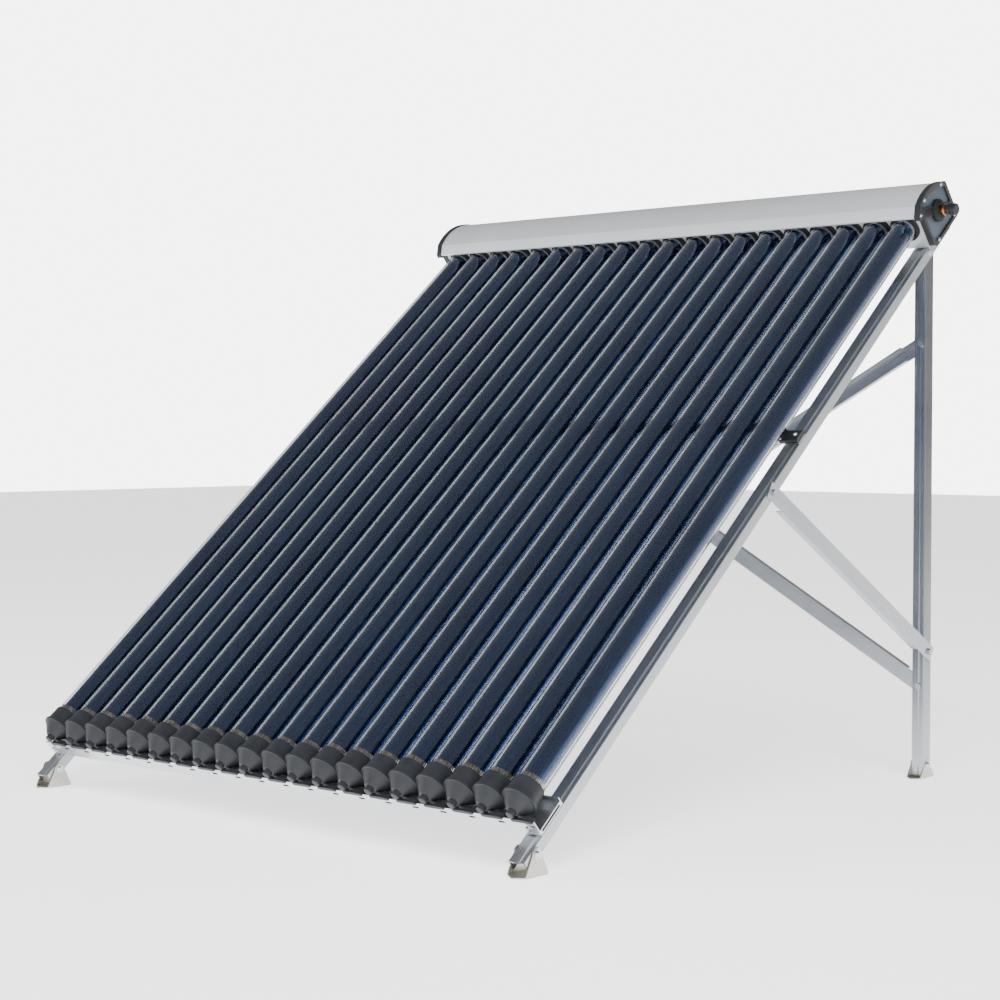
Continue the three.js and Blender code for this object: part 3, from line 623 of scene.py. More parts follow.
def row_tree() -> Tree:
    """Copies of the incoming shape at a fixed step."""
    made = Tree("row of copies", {"Count": "NodeSocketInt", "Step": "NodeSocketVector", "Material": "NodeSocketMaterial"})
    line = add(made.tree, "GeometryNodeMeshLine", {"Count": made.given["Count"], "Offset": made.given["Step"]})
    copies = add(made.tree, "GeometryNodeInstanceOnPoints", {"Points": line.outputs[0],
                                                              "Instance": made.given["Geometry"]})
    made.close(copies.outputs[0])
    return made


def ribbed_ring_tree() -> Tree:
    """A thin ring round z whose wall is crimped into ribs."""
    made = Tree("ribbed ring", {"Radius": "NodeSocketFloat", "Width": "NodeSocketFloat", "Wall": "NodeSocketFloat",
                                "Ribs": "NodeSocketInt", "Crimp": "NodeSocketFloat", "Material": "NodeSocketMaterial"})
    tree, given = made.tree, made.given
    circle = add(tree, "GeometryNodeCurvePrimitiveCircle", {"Resolution": 192, "Radius": given["Radius"]})
    along = add(tree, "GeometryNodeSplineParameter").outputs["Factor"]
    turns = add(tree, "ShaderNodeMath", {0: along, 1: given["Ribs"]}, operation="MULTIPLY").outputs[0]
    phase = add(tree, "ShaderNodeMath", {0: turns, 1: 2 * math.pi}, operation="MULTIPLY").outputs[0]
    wave = add(tree, "ShaderNodeMath", {0: phase}, operation="SINE").outputs[0]
    swing = add(tree, "ShaderNodeMath", {0: wave, 1: given["Crimp"]}, operation="MULTIPLY").outputs[0]
    here = add(tree, "GeometryNodeInputPosition").outputs[0]
    outwards = add(tree, "ShaderNodeVectorMath", {0: here}, operation="NORMALIZE").outputs[0]
    shift = add(tree, "ShaderNodeVectorMath", {0: outwards, "Scale": swing}, operation="SCALE").outputs[0]
    waved = add(tree, "GeometryNodeSetPosition", {"Geometry": circle.outputs[0], "Offset": shift})
    band = add(tree, "GeometryNodeCurvePrimitiveQuadrilateral", {"Width": given["Wall"], "Height": given["Width"]})
    ring = add(tree, "GeometryNodeCurveToMesh", {"Curve": waved.outputs[0], "Profile Curve": band.outputs[0]})
    made.close(ring.outputs[0])
    return made


def fastener_tree() -> Tree:
    """A headed screw on a washer at each incoming point, standing along the point's own axis."""
    made = Tree("fasteners", {"Sides": "NodeSocketInt", "Head": "NodeSocketFloat", "Height": "NodeSocketFloat",
                              "Washer": "NodeSocketFloat", "Washer height": "NodeSocketFloat",
                              "Socket": "NodeSocketFloat", "Material": "NodeSocketMaterial"})
    tree, given = made.tree, made.given
    crown = add(tree, "ShaderNodeMath", {0: given["Head"], 1: 0.78}, operation="MULTIPLY").outputs[0]
    head = add(tree, "GeometryNodeMeshCone", {"Vertices": given["Sides"], "Radius Bottom": given["Head"],
                                               "Radius Top": crown, "Depth": given["Height"]})
    lifted = add(tree, "ShaderNodeCombineXYZ", {"Z": given["Washer height"]}).outputs[0]
    raised = add(tree, "GeometryNodeTransform", {"Geometry": head.outputs[0], "Translation": lifted})
    recess = add(tree, "GeometryNodeMeshCylinder", {"Vertices": 6, "Radius": given["Socket"],
                                                     "Depth": given["Height"]})
    top = add(tree, "ShaderNodeMath", {0: given["Washer height"], 1: given["Height"]}, operation="ADD").outputs[0]
    top_at = add(tree, "ShaderNodeCombineXYZ", {"Z": top}).outputs[0]
    sunk = add(tree, "GeometryNodeTransform", {"Geometry": recess.outputs[0], "Translation": top_at})
    drilled = add(tree, "GeometryNodeMeshBoolean", {"Mesh 1": raised.outputs[0], "Mesh 2": sunk.outputs[0]})
    disc = add(tree, "GeometryNodeMeshCylinder", {"Vertices": 32, "Radius": given["Washer"],
                                                   "Depth": given["Washer height"]})
    half = add(tree, "ShaderNodeMath", {0: given["Washer height"], 1: 0.5}, operation="MULTIPLY").outputs[0]
    half_at = add(tree, "ShaderNodeCombineXYZ", {"Z": half}).outputs[0]
    washer = add(tree, "GeometryNodeTransform", {"Geometry": disc.outputs[0], "Translation": half_at})
    screw = add(tree, "GeometryNodeJoinGeometry")
    tree.links.new(drilled.outputs[0], screw.inputs[0])
    tree.links.new(washer.outputs[0], screw.inputs[0])
    axis = add(tree, "GeometryNodeInputNamedAttribute", {"Name": "axis"}, data_type="FLOAT_VECTOR").outputs[0]
    turn = add(tree, "FunctionNodeAlignRotationToVector", {"Vector": axis}, axis="Z").outputs[0]
    placed = add(tree, "GeometryNodeInstanceOnPoints", {"Points": given["Geometry"], "Instance": screw.outputs[0],
                                                         "Rotation": turn})
    made.close(placed.outputs[0])
    return made


@dataclass(frozen=True)
class Fasteners:
    """Screws or bolts of one size; lengths in millimetres."""

    sides: int
    head: float
    height: float
    washer: float
    washer_height: float
    recess: float

    def build(self, name: str, spots: list, tree: Tree, finish: bpy.types.Material, body: str) -> bpy.types.Object:
        """Sets one at each spot.

        Args:
            name: The piece's name.
            spots: (point, axis) pairs in the row frame, in metres.
            tree: The fastener tree.
            finish: The metal.
            body: The body that they ride on.

        Returns:
            The piece.
        """
        points = empty_mesh([point for point, _ in spots])
        axes = points.attributes.new("axis", "FLOAT_VECTOR", "POINT")
        axes.data.foreach_set("vector", [value for _, axis in spots for value in axis])
        mesh = tree.run(points, {"Sides": self.sides, "Head": self.head * MM, "Height": self.height * MM,
                                 "Washer": self.washer * MM, "Washer height": self.washer_height * MM,
                                 "Socket": self.recess * MM, "Material": finish})
        piece = as_piece(name, mesh, [finish])
        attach(piece, body)
        return piece


# ---------- the collector ----------
@dataclass(frozen=True)
class TubeRow:
    """Twenty sealed glass tubes with their absorbers, getter bands and bare glass ends, whose pale tone is a painted
    highlight.
    """

    pitch: float = 73.0
    count: int = 20
    start: float = 72.0
    length: float = 1800.0
    radius: float = 29.0
    wall: float = 1.8
    absorber: float = 23.5
    absorber_start: float = 34.0
    coating_end: float = 1767.0
    band_start: float = 27.0
    band_width: float = 17.0

    def first(self) -> Matrix:
        """Takes a tube drawn along z, in metres, to the first tube's place."""
        tip = Matrix.Translation((-self.pitch * (self.count - 1) / 2, self.start, 0))
        return SLOPE @ tip @ ALONG_Y @ Matrix.Scale(1 / MM, 4)

    def drawn(self, tree: Tree, inset: float, start: float, length: float, finish: bpy.types.Material) -> bpy.types.Mesh:
        """Draws one closed tube along z.

        Args:
            tree: The sealed tube tree.
            inset: How far inside the outer glass it lies.
            start: Where its tip is, above the glass tip.
            length: Its length.
            finish: Its material.

        Returns:
            The mesh, in metres.
        """
        radius = self.radius - inset
        mesh = tree.run(empty_mesh(), {"Radius": radius * MM, "Length": length * MM, "Tip": radius * MM,
                                       "Shoulder": 5.0 * MM, "Material": finish})
        mesh.transform(Matrix.Translation((0, 0, start * MM)))
        return welded(mesh)

    def build(self, glass: bpy.types.Material, trees: dict) -> None:
        """Builds every tube.

        Args:
            glass: The clear glass.
            trees: The geometry node trees by name.
        """
        envelope = self.drawn(trees["tube"], 0, 0, self.length, glass)
        void = self.drawn(trees["tube"], self.wall, self.wall, self.length - 2 * self.wall, glass)
        void.flip_normals()
        shell = merged([envelope, void])
        shell.polygons.foreach_set("material_index", [0] * len(shell.polygons))
        shell.transform(self.first())
        shell.flip_normals()
        step = Vector((self.pitch * MM, 0, 0))
        for i, node in enumerate(TUBES):
            mesh = shell.copy()
            mesh.transform(Matrix.Translation(step * i))
            piece = as_piece(node.replace("evacuated", "glass"), mesh, [glass])
            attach(piece, ROOT)
            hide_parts(node)
        self.fill("absorber_tubes", COATING.build(), self.absorber_start, self.coating_end, self.absorber, trees)
        # Bare glass ends in a pale tone that paints the highlight on the glass rim at the tube tops.
        self.fill("bare_glass_ends_painted_highlight", GLASS_END_PAINTED_HIGHLIGHT.build(), self.coating_end + 0.5, self.length - 4, self.absorber, trees)
        self.bands(GETTER.build(), trees)
        LOG.info("tubes: %d envelopes, absorbers, ends and getter bands", len(TUBES))

    def fill(self, name: str, finish: bpy.types.Material, start: float, end: float, radius: float, trees: dict) -> None:
        """Adds the same inner tube to every envelope.

        Args:
            name: The piece's name.
            finish: Its material.
            start: Its lower end, above the glass tip.
            end: Its upper end.
            radius: Its radius.
            trees: The geometry node trees by name.
        """
        mesh = trees["tube"].run(empty_mesh(), {"Radius": radius * MM, "Length": (end - start) * MM,
                                                "Tip": 6.0 * MM, "Shoulder": 1.0 * MM, "Material": finish})
        mesh.transform(Matrix.Translation((0, 0, start * MM)))
        self.row(name, welded(mesh), finish, "glass_tube", trees)

    def bands(self, finish: bpy.types.Material, trees: dict) -> None:
        """Adds the crimped getter band inside every envelope."""
        radius = self.radius - self.wall - 1.2
        mesh = trees["ring"].run(empty_mesh(), {"Radius": radius * MM, "Width": self.band_width * MM, "Wall": 0.5 * MM,
                                                "Ribs": 40, "Crimp": 0.4 * MM, "Material": finish})
        mesh.transform(Matrix.Translation((0, 0, (self.band_start + self.band_width / 2) * MM)))
        self.row("getter_bands", welded(mesh), finish, "glass_tube", trees)

    def row(self, name: str, mesh: bpy.types.Mesh, finish: bpy.types.Material, slot: str, trees: dict) -> None:
        """Repeats a shape at every tube."""
        mesh.transform(self.first())
        mesh.flip_normals()
        rowed = trees["row"].run(mesh, {"Count": self.count, "Step": (self.pitch * MM, 0, 0), "Material": finish})
        piece = as_piece(name, rowed, [finish])
        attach(piece, ROOT)


@dataclass(frozen=True)
class CupRow:
    """Moulded cups with a lip, a cone, a stud and the wing that clips each one to the tray."""

    collar: float = 32.3
    bore: float = 29.3
    lip: float = 35.8
    rim: float = 104.7
    lip_top: float = 71.0
    lip_bottom: float = 64.5
    neck: float = 40.7
    neck_radius: float = 13.0
    stud: float = 30.7
    stud_radius: float = 8.6

    def profile(self) -> list:
        """The cup's turned profile, from the stud round to the floor of its bore."""
        outer = [(0, self.stud), (self.stud_radius, self.stud), (self.stud_radius, self.neck + 1),
                 (self.neck_radius, self.neck), (self.collar + 0.5, self.lip_bottom), (self.lip, self.lip_bottom + 0.5),
                 (self.lip, self.lip_top), (self.collar + 0.6, self.lip_top + 1.2), (self.collar - 0.4, self.rim),
                 (self.bore, self.rim), (self.bore, self.lip_top + 12), (14.0, self.lip_top + 1), (0, self.lip_top)]
        radii = [0, 2.6, 0.8, 2.5, 1.0, 1.2, 1.6, 1.0, 1.4, 0.6, 6.0, 4.0, 0]
        return rounded(outer, radii, 4, closed=False)

    def build(self, tubes: TubeRow) -> None:
        """Builds the cups, each over its own node.

        Args:
            tubes: The row whose pitch the cups share.
        """
        finish = CUP_PLASTIC.build()
        wing = rounded([(-9, -15), (16, -14), (37, -15), (44, -17.5), (41, -21.5), (20, -21.6), (-9, -21.6)],
                       [4, 6, 4, 2, 2, 2, 4], 4)
        rib = rounded([(6, -20), (12, -6), (17, -9), (26, -16), (26, -20)], [0, 2, 2, 2, 0], 3)
        for i, node in enumerate(CUPS):
            x = tubes.pitch * (i - (tubes.count - 1) / 2)
            cup = Body(SLOPE @ Matrix.Translation((x, 0, 0)))
            cup.turned(self.profile(), ALONG_Y, 56)
            cup.prism(wing, 34.5, 46.0, ALONG_Y)
            cup.prism(rib, 38.5, 42.0, ALONG_Y)
            piece = soften(cup.piece(node.replace("tube_cup", "moulded_cup"), [finish]), 0.7)
            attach(piece, ROOT)
            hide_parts(node)
        LOG.info("cups: %d", len(CUPS))


@dataclass(frozen=True)
class Header:
    """Arched cover, end caps, seals and copper manifold; lengths up the slope and out of the glass."""

    face: float = 1849.0
    rear: float = 1976.0
    floor: float = -58.0
    half: float = 738.5
    eave_reach: float = 18.0
    eave: float = 33.0
    axis: float = 1912.0
    cap_face: float = 752.8
    cap_depth: float = 14.0
    stub_end: float = 797.8

    def cover_line(self, grow: float = 0.0) -> list:
        """The cover's outer line, from the eave's lip over the arch to the rear edge.

        Args:
            grow: How far outside the cover the line lies.

        Returns:
            Its points.
        """
        lip = self.face - self.eave_reach - grow
        crease = (lip + 20 + grow * 0.6, self.eave + 22 + grow * 0.9)
        back = self.rear + 2.3 + grow
        arch = arc(crease, (back, self.eave + grow * 0.4), 16, 40)
        return [(lip, self.eave - grow), (lip, self.eave + 5), *arch]

    def cover(self) -> None:
        """The bent sheet with its rolled eave and rear skirt."""
        line = self.cover_line()
        back = line[-1][0]
        radii = [0, 1.6, 2.2] + [0] * 39 + [1.6]
        outer = rounded(line + [(back, self.eave - 12)], radii + [0], 4, closed=False)
        lip = [(self.face + 3, self.eave + 0.2), (line[0][0] + 1.2, self.eave + 0.2)]
        sheet_line = rounded([lip[0], (line[0][0], self.eave), *outer[1:]], [0, 1.4] + [0] * (len(outer) - 1), 3,
                             closed=False)
        body = Body(SLOPE)
        body.prism(sheet(sheet_line, 1.6), -self.half, self.half, ALONG_X)
        piece = body.piece("arched_cover", [COVER.build()], 20)
        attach(piece, ROOT)
        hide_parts("header_cover")

    def pockets(self) -> list:
        """The two openings of an end cap, above and below its diagonal band."""
        rim = 8.0
        back = self.rear + 2.3
        upper = [(self.face + 8, 45), *arc((self.face + 10, 52), (back - rim, self.eave - 6), 10, 10), (back - rim, -16)]
        lower = [(self.face + 6, 16), (self.face + 6, self.floor + 16), (self.face + 16, self.floor + 6),
                 (back - rim, self.floor + 6), (back - rim, -26)]
        return [rounded(upper, [3] + [0] * 11 + [4], 4), rounded(lower, [3, 4, 4, 5, 3], 4)]

    def cap(self, side: int, trees: dict, finishes: dict) -> None:
        """One moulded end cap with its sunk panels, grommet and screws.

        Args:
            side: 1 for the right end, -1 for the left.
            trees: The geometry node trees by name.
            finishes: Materials by name.
        """
        where = "right" if side > 0 else "left"
        grow, floor = 1.5, self.floor - 1.5
        edge = self.cover_line(grow) + [(self.rear + 3.8, floor), (self.face + 8, floor), (self.face - grow, floor + 8),
                                        (self.face - grow, self.eave - 9), (self.face - self.eave_reach - grow, self.eave - 4)]
        radii = [3, 2] + [0] * 40 + [2.5, 4, 4, 4, 3, 3]
        middle = Matrix.Translation((side * (self.cap_face - self.cap_depth / 2), 0, 0))
        place = SLOPE @ middle @ ALONG_X
        frame_mesh = plate("cap", [rounded(edge, radii[:len(edge)], 4), *self.pockets()], self.cap_depth, 1.2, place)
        piece = as_piece(f"cap_frame_{where}", frame_mesh, [finishes["cap"]])
        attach(piece, ROOT)
        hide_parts(f"end_cap_{where}")
        self.panels(side, where, finishes["panel"])
        self.grommet(side, where, finishes["rubber"])
        spots = [(1957, 40.5), (1872, 55.5), (1838, 38), (1966, -50), (1872, -53.5)]
        out = Vector((side, 0, 0))
        at = [(SLOPE @ Vector((side * self.cap_face, y, z)), out) for y, z in spots]
        Fasteners(24, 3.6, 2.2, 4.6, 0.6, 1.6).build(f"cap_screws_{where}", at, trees["fastener"], finishes["steel"], ROOT)

    def panels(self, side: int, where: str, finish: bpy.types.Material) -> None:
        """The grey panels behind the end cap's openings."""
        body = Body(SLOPE)
        depth = side * (self.cap_face - 5)
        for pocket in self.pockets():
            body.prism(pocket, depth - side * 3, depth, ALONG_X)
        piece = body.piece(f"cap_panels_{where}", [finish])
        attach(piece, ROOT)

    def grommet(self, side: int, where: str, finish: bpy.types.Material) -> None:
        """The rubber grommet round the copper stub."""
        start = self.cap_face - 6
        loop = [(11.1, start), (26, start), (27, start + 9), (22, start + 10.5), (19.5, start + 14), (11.1, start + 14)]
        profile = rounded(loop, [0, 1, 2.5, 2, 2.5, 1], 4)
        body = Body(SLOPE @ Matrix.Translation((0, self.axis, 0)) @ Matrix.Scale(side, 4, (1, 0, 0)))
        body.turned(profile, ALONG_X, 56)
        piece = body.piece(f"grommet_{where}", [finish])
        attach(piece, ROOT)

    def manifold(self, tubes: TubeRow) -> None:
        """The copper pipe with an open stub at each end and a dry well for every tube.

        Args:
            tubes: The row that the wells line up with.
        """
        body = Body(SLOPE @ Matrix.Translation((0, self.axis, 0)))
        end, bore, depth = self.stub_end, 9.5, 60.0
        half = [(bore, end - depth), (bore, end), (11, end), (11, 771), (12.6, 769), (12.6, 765.5), (11, 763.5),
                (11, 733.5), (19, 713.5)]
        mirror = [(r, -x) for r, x in reversed(half)]
        profile = [(0, end - depth), *half, *mirror, (0, depth - end)]
        body.turned(profile, ALONG_X, 48)
        for i in range(tubes.count):
            x = tubes.pitch * (i - (tubes.count - 1) / 2)
            well = Matrix.Translation((x, 0, 0)) @ ALONG_Y
            body.turned([(0, 16), (9.4, 16), (9.4, -28), (8, -28), (8, 12), (0, 12)], well, 24)
        piece = body.piece("copper_manifold", [COPPER.build()])
        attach(piece, ROOT)
        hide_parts("header_pipe")

    def transport_cap(self, finish: bpy.types.Material) -> None:
        """The slip-on cap over the right stub, with a rolled mouth and finger ribs."""
        body = Body(SLOPE @ Matrix.Translation((0, self.axis, 0)))
        mouth, end = self.stub_end - 20, self.stub_end + 2.3
        body.turned(rounded([(0, self.stub_end + 0.3), (11.3, self.stub_end + 0.3), (11.3, mouth), (14.2, mouth),
                             (14.2, mouth + 3), (13.3, mouth + 4), (13.3, end), (0, end)],
                            [0, 0.5, 0.6, 1.0, 1.0, 0.5, 2.6, 0], 4, closed=False), ALONG_X, 56)
        for i in range(24):
            spin = Matrix.Rotation(math.tau * i / 24, 4, "X")
            body.prism([(-0.5, 13.0), (0.5, 13.0), (0.3, 13.9), (-0.3, 13.9)], mouth + 5, end - 3, spin @ ALONG_X)
        piece = body.piece("transport_cap", [finish])
        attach(piece, "pipe_cap_right")
        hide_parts("pipe_cap_right")

    def seals(self, tubes: TubeRow, finish: bpy.types.Material, trees: dict) -> None:
        """The row of rubber dust seals where the tubes enter the casing.

        Args:
            tubes: The row that the seals line up with.
            finish: The rubber.
            trees: The geometry node trees by name.
        """
        body = Body(SLOPE @ Matrix.Translation((-tubes.pitch * (tubes.count - 1) / 2, 0, 0)))
        face = self.face - 0.3
        loop = [(29.2, face), (29.2, face - 9), (31.5, face - 9), (33, face - 4), (36.2, face - 3.2), (36.2, face)]
        body.turned(rounded(loop, [0.4, 1.0, 1.2, 2.0, 1.4, 0.4], 4), ALONG_Y, 56)
        seed = body.piece("seal_seed", [finish])
        mesh = seed.data
        bpy.data.objects.remove(seed)
        rowed = trees["row"].run(mesh, {"Count": tubes.count, "Step": (tubes.pitch * MM, 0, 0), "Material": finish})
        piece = as_piece("dust_seals", rowed, [finish])
        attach(piece, ROOT)

    def build(self, tubes: TubeRow, trees: dict, finishes: dict) -> None:
        """Builds the whole header.

        Args:
            tubes: The tube row.
            trees: The geometry node trees by name.
            finishes: Materials by name.
        """
        self.cover()
        for side in (1, -1):
            self.cap(side, trees, finishes)
        self.manifold(tubes)
        self.transport_cap(finishes["cap"])
        self.seals(tubes, finishes["rubber"], trees)
        LOG.info("header: cover, caps, grommets, manifold, cap and seals")


# ---------- the stand ----------
@dataclass(frozen=True)
class Stand:
    """Extruded rails and legs, pressed feet, bolts and the rail clips."""

    rail_centre: float = 713.5
    rail_half: float = 20.0
    rail_top: float = -58.3
    rail_height: float = 24.0
    rail_start: float = -25.0
    rail_length: float = 1985.0
    wall: float = 2.5
    leg_face: float = 730.7
    leg_width: float = 30.0
    leg_depth: float = 28.0
    leg_clearance: float = 8.0

    def rail_line(self) -> list:
        """The rail's outer face: left web, deck, cove up to the crowned strip, right web."""
        h, top = self.rail_half, self.rail_top
        deck, foot = top - 3, top - self.rail_height
        corners = [(-h, foot), (-h, deck), (4, deck), (10.5, top - 0.5), (15.5, top), (h, top - 0.4), (h, foot)]
        return rounded(corners, [0, 1.0, 9, 5, 6, 1.6, 0], 6, closed=False)

    def rails(self) -> None:
        """Both side rails, with the strip on the same edge."""
        finish = extruded("aluminium, extruded and anodised, rail", Grain.UP_SLOPE).build()
        for side, where in ((1, "right"), (-1, "left")):
            body = Body(SLOPE @ Matrix.Translation((side * self.rail_centre, 0, 0)))
            body.prism(sheet(self.rail_line(), self.wall), self.rail_start, self.rail_start + self.rail_length, ALONG_Y)
            piece = body.piece(f"side_rail_{where}", [finish], 28)
            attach(piece, ROOT)
            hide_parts(f"front_rail_{where}")

    def legs(self) -> None:
        """Both rear legs, cut at the top to the slope of the rail."""
        finish = extruded("aluminium, extruded and anodised, leg", Grain.UPRIGHT).build()
        w, d = self.leg_width, self.leg_depth
        line = rounded([(-w, 3), (-14, 3), (-9.5, 0.5), (-5, 0), (0, 0.2), (0, d), (-w, d)], [0, 6, 4, 5, 1.4, 1.2, 0], 6,
                       closed=False)
        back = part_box("rear_leg_right")[1][1] / MM
        normal = (SLOPE.to_3x3() @ Vector((0, 0, 1))).normalized()
        under = SLOPE @ Vector((0, 0, self.rail_top - 3 - self.wall - 0.3))
        for side, where in ((1, "right"), (-1, "left")):
            mirror = Matrix.Scale(side, 4, (1, 0, 0))
            body = Body(LEVEL @ mirror @ Matrix.Translation((self.leg_face, back - d, 0)))
            body.prism(list(reversed(sheet(line, self.wall))), self.leg_clearance, 1400, UPRIGHT)
            piece = body.piece(f"rear_post_{where}", [finish], 28)
            work = bmesh.new()
            work.from_mesh(piece.data)
            everything = work.verts[:] + work.edges[:] + work.faces[:]
            cut = bmesh.ops.bisect_plane(work, geom=everything, plane_co=under, plane_no=normal, clear_outer=True)
            edges = [item for item in cut["geom_cut"] if isinstance(item, bmesh.types.BMEdge)]
            bmesh.ops.contextual_create(work, geom=edges)
            bmesh.ops.recalc_face_normals(work, faces=work.faces)
            work.to_mesh(piece.data)
            work.free()
            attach(piece, ROOT)
            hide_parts(f"rear_leg_{where}")

    def foot(self, name: str, half: float, finishes: dict, trees: dict) -> None:
        """One pressed foot with its lugs, pivot bolt, washer and nut.

        Args:
            name: The foot's node and body.
            half: Half the width of the profile between its lugs.
            finishes: Materials by name.
            trees: The geometry node trees by name.
        """
        pivot = hinge(name + "_pivot")
        place = Matrix.Translation(pivot) @ Matrix.Scale(MM, 4)
        height = pivot.z / MM
        inner, outer = half + 0.3, half + 3.3
        sole_line = rounded([(-outer, -30), (0, -48), (outer, -30), (outer, 30), (0, 48), (-outer, 30)],
                            [6, 5, 6, 6, 5, 6], 5)
        sole = plate("sole", [sole_line], 3, 0.8, place @ Matrix.Translation((0, 0, 1.5 - height)))
        dome = [(13 * math.cos(a), 13 * math.sin(a)) for a in (math.pi * k / 16 for k in range(17))]
        side_line = rounded([(-33, 1 - height), (33, 1 - height), *dome], [3, 3] + [0] * 17, 5)
        parts = [sole]
        for x in (inner + 1.5, -inner - 1.5):
            parts.append(plate("lug", [side_line], 3, 0.8, place @ Matrix.Translation((x, 0, 0)) @ ALONG_X))
        mesh = merged(parts)
        mesh.polygons.foreach_set("material_index", [0] * len(mesh.polygons))
        piece = as_piece("pressed_" + name, mesh, [finishes["zinc"]])
        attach(piece, name)
        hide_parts(name)
        shank = Body(place)
        shank.turned([(0, -outer - 7), (3.9, -outer - 7), (3.9, outer + 1), (0, outer + 1)], ALONG_X, 24)
        pin = shank.piece("pivot_pin_" + name, [finishes["steel"]])
        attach(pin, name)
        right = (pivot + Vector((outer * MM, 0, 0)), Vector((1, 0, 0)))
        left = (pivot - Vector((outer * MM, 0, 0)), Vector((-1, 0, 0)))
        Fasteners(6, 7.5, 5, 9.5, 1.2, 1.0).build("pivot_heads_" + name, [right, left], trees["fastener"],
                                                  finishes["steel"], name)

    def clips(self, finishes: dict, trees: dict) -> None:
        """The clips that hold the middle rail down on the side rails; their black plastic is painted shade, where this
        spot lies in shadow under the tubes.
        """
        body = Body(SLOPE)
        heads = []
        for side in (1, -1):
            start, end = side * (self.rail_centre - self.rail_half - 6), side * (self.rail_centre + self.rail_half - 1)
            outline = rounded([(1143, -55.2), (1179, -55.2), (1179, -47), (1172, -44), (1150, -44), (1143, -47)],
                              [1, 1, 3, 3, 3, 3], 4)
            body.prism(outline, start, end, ALONG_X)
            heads.append((SLOPE @ Vector((side * (self.rail_centre + 8), 1161, -44)), SLOPE.to_3x3() @ Vector((0, 0, 1))))
        # The clips take the black cap plastic as painted shade: the dark between the last tube and the rail is shadow.
        piece = soften(body.piece("rail_clips_painted_shade", [finishes["cap"]]), 1.0)
        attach(piece, ROOT)
        Fasteners(24, 4.6, 3.0, 6.0, 0.8, 2.0).build("clip_screws", heads, trees["fastener"], finishes["steel"], ROOT)

    def bolts(self, finishes: dict, trees: dict) -> None:
        """Bolts that no CAD piece carries: the tray's, on its front wall, and the legs' into the rails."""
        down = (SLOPE.to_3x3() @ Vector((0, -1, 0))).normalized()
        tray = [(SLOPE @ Vector((side * (self.rail_centre - 1), 39.9, -40)), down) for side in (1, -1)]
        Fasteners(6, 6.0, 4.0, 9.0, 1.2, 1.0).build("tray_bolts", tray, trees["fastener"], finishes["steel"], ROOT)
        leg_slope, bolt_line = 1848.7, -71.55
        leg = [(SLOPE @ Vector((side * (self.rail_centre + self.rail_half), leg_slope, bolt_line)), Vector((side, 0, 0)))
               for side in (1, -1)]
        Fasteners(6, 7.5, 5.0, 10.0, 1.4, 1.0).build("leg_bolts", leg, trees["fastener"], finishes["steel"], ROOT)

    def build(self, finishes: dict, trees: dict) -> None:
        """Builds the whole stand.

        Args:
            finishes: Materials by name.
            trees: The geometry node trees by name.
        """
        self.rails()
        self.legs()
        for end, half in (("front", self.rail_half), ("rear", self.leg_width / 2)):
            for side in ("right", "left"):
                self.foot(f"{end}_foot_{side}", half, finishes, trees)
        self.clips(finishes, trees)
        self.bolts(finishes, trees)
        LOG.info("stand: rails, legs, feet, clips and bolts")


def dress_cad() -> None:
    """Gives the CAD nodes that stay in view their metals, with die lines along each bar."""
    finishes = {"header_base": CASING,
                "bottom_track": extruded("aluminium, extruded and anodised, tray", Grain.ACROSS, ("#c6cacf", "#d6d9dc")),
                "mid_rail": extruded("aluminium, extruded and anodised, cross rail", Grain.ACROSS),
                "cross_brace_front": extruded("aluminium, extruded and anodised, brace", Grain.RISING_RIGHT),
                "cross_brace_rear": extruded("aluminium, extruded and anodised, counter-brace", Grain.RISING_LEFT),
                "side_brace_right": extruded("aluminium, extruded and anodised, side brace", Grain.SIDE_BRACE)}
    made = {node: finish.build() for node, finish in finishes.items()}
    made["side_brace_left"] = made["side_brace_right"]
    for node, material in made.items():
        mesh = frame["nodes"][node].data
        mesh.materials.clear()
        mesh.materials.append(material)


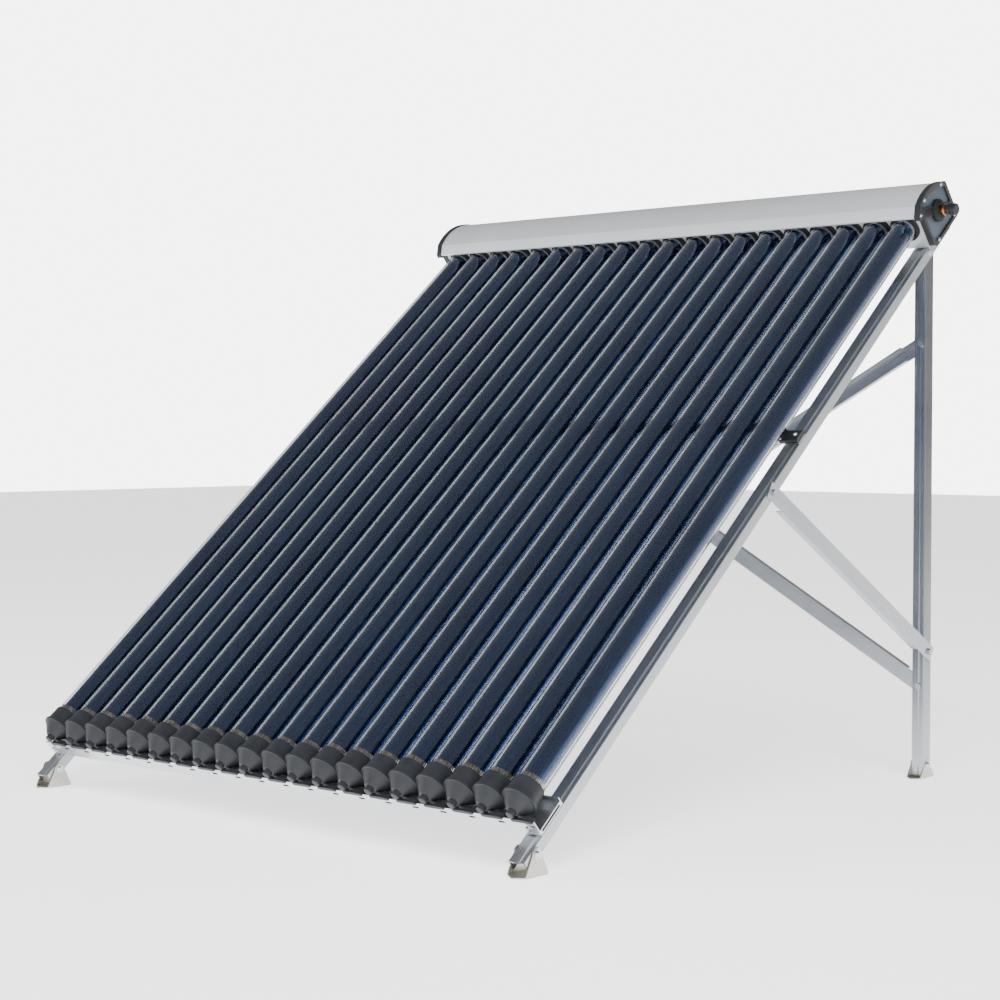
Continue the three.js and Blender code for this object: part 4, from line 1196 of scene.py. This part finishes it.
# ---------- studio ----------
@dataclass(frozen=True)
class Studio:
    """Pale floor, soft lights and the camera."""

    camera_at: tuple = (3.1153, -3.5338, 0.8082)
    azimuth: float = math.radians(41.356)
    pitch: float = math.radians(1.915)
    lens: float = 73.38
    sensor: float = 36.0
    wall_light: float = 1.3
    roof_light: float = 0.36
    backdrop: float = 6.0
    floor_glow: float = 1.5

    def floor(self) -> None:
        """A wide pale floor just under the feet."""
        mesh = bpy.data.meshes.new("floor")
        size = 20.0
        mesh.from_pydata([(-size, -size, -0.0005), (size, -size, -0.0005), (size, size, -0.0005), (-size, size, -0.0005)],
                         [], [(0, 1, 2, 3)])
        pale = Finish("painted studio floor", ("#f6f6f6", "#fafafa"), (0.8, 0.9), cloud_mm=900)
        material = pale.build()
        material.node_tree.nodes["Principled BSDF"].inputs["Emission Color"].default_value = linear("#ffffff")
        material.node_tree.nodes["Principled BSDF"].inputs["Emission Strength"].default_value = self.floor_glow
        mesh.materials.append(material)
        floor = bpy.data.objects.new("floor", mesh)
        bpy.context.scene.collection.objects.link(floor)

    def light(self, name: str, at: tuple, size: tuple, power: float) -> None:
        """A soft box that faces the object.

        Args:
            name: The lamp's name.
            at: Where it hangs, in metres.
            size: Its width and height.
            power: Its power in watts.
        """
        lamp = bpy.data.lights.new(name, "AREA")
        lamp.shape = "RECTANGLE"
        lamp.size, lamp.size_y = size
        lamp.energy = power
        holder = bpy.data.objects.new(name, lamp)
        holder.location = at
        holder.visible_glossy = False
        holder.visible_transmission = False
        holder.rotation_euler = (Vector((0, 0, 0.7)) - Vector(at)).to_track_quat("-Z", "Y").to_euler()
        bpy.context.scene.collection.objects.link(holder)

    def build(self) -> None:
        """Sets up the world, the lights, the floor and the camera."""
        world = bpy.data.worlds.new("studio")
        world.use_nodes = True
        tree = world.node_tree
        where = add(tree, "ShaderNodeTexCoord")
        split = add(tree, "ShaderNodeSeparateXYZ", {0: where.outputs["Generated"]})
        wall = add(tree, "ShaderNodeMapRange", {"Value": split.outputs["Z"], "From Min": 0.1, "From Max": 0.45,
                                                 "To Min": self.wall_light, "To Max": self.roof_light},
                   interpolation_type="SMOOTHSTEP")
        seen = add(tree, "ShaderNodeLightPath")
        strength = add(tree, "ShaderNodeMix", {0: seen.outputs["Is Camera Ray"], 2: wall.outputs[0],
                                                3: self.backdrop}).outputs[0]
        tree.links.new(strength, tree.nodes["Background"].inputs["Strength"])
        tree.nodes["Background"].inputs["Color"].default_value = linear("#ffffff")
        bpy.context.scene.world = world
        self.floor()
        self.light("key", (3.0, -2.5, 4.5), (3.5, 3.5), 420)
        self.light("fill", (-4.0, -4.0, 3.5), (3.5, 3.5), 240)
        data = bpy.data.cameras.new("camera")
        data.lens, data.sensor_width = self.lens, self.sensor
        camera = bpy.data.objects.new("camera", data)
        camera.location = self.camera_at
        flat = math.cos(self.pitch)
        look = Vector((-math.sin(self.azimuth) * flat, math.cos(self.azimuth) * flat, -math.sin(self.pitch)))
        camera.rotation_euler = look.to_track_quat("-Z", "Y").to_euler()
        bpy.context.scene.collection.objects.link(camera)
        bpy.context.scene.camera = camera


def main() -> None:
    """Builds the object piece by piece, then the studio."""
    logging.basicConfig(level=logging.INFO, format="%(name)s %(message)s")
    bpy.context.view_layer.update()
    trees = {"tube": sealed_tube_tree(), "row": row_tree(), "ring": ribbed_ring_tree(), "fastener": fastener_tree()}
    finishes = {"cap": CAP_PLASTIC.build(), "panel": PANEL.build(), "rubber": RUBBER.build(), "zinc": ZINC.build(),
                "steel": STAINLESS.build()}
    tubes = TubeRow()
    tubes.build(ClearGlass().build(), trees)
    CupRow().build(tubes)
    Header().build(tubes, trees, finishes)
    Stand().build(finishes, trees)
    dress_cad()
    Studio().build()


if __name__ == "__main__":
    main()
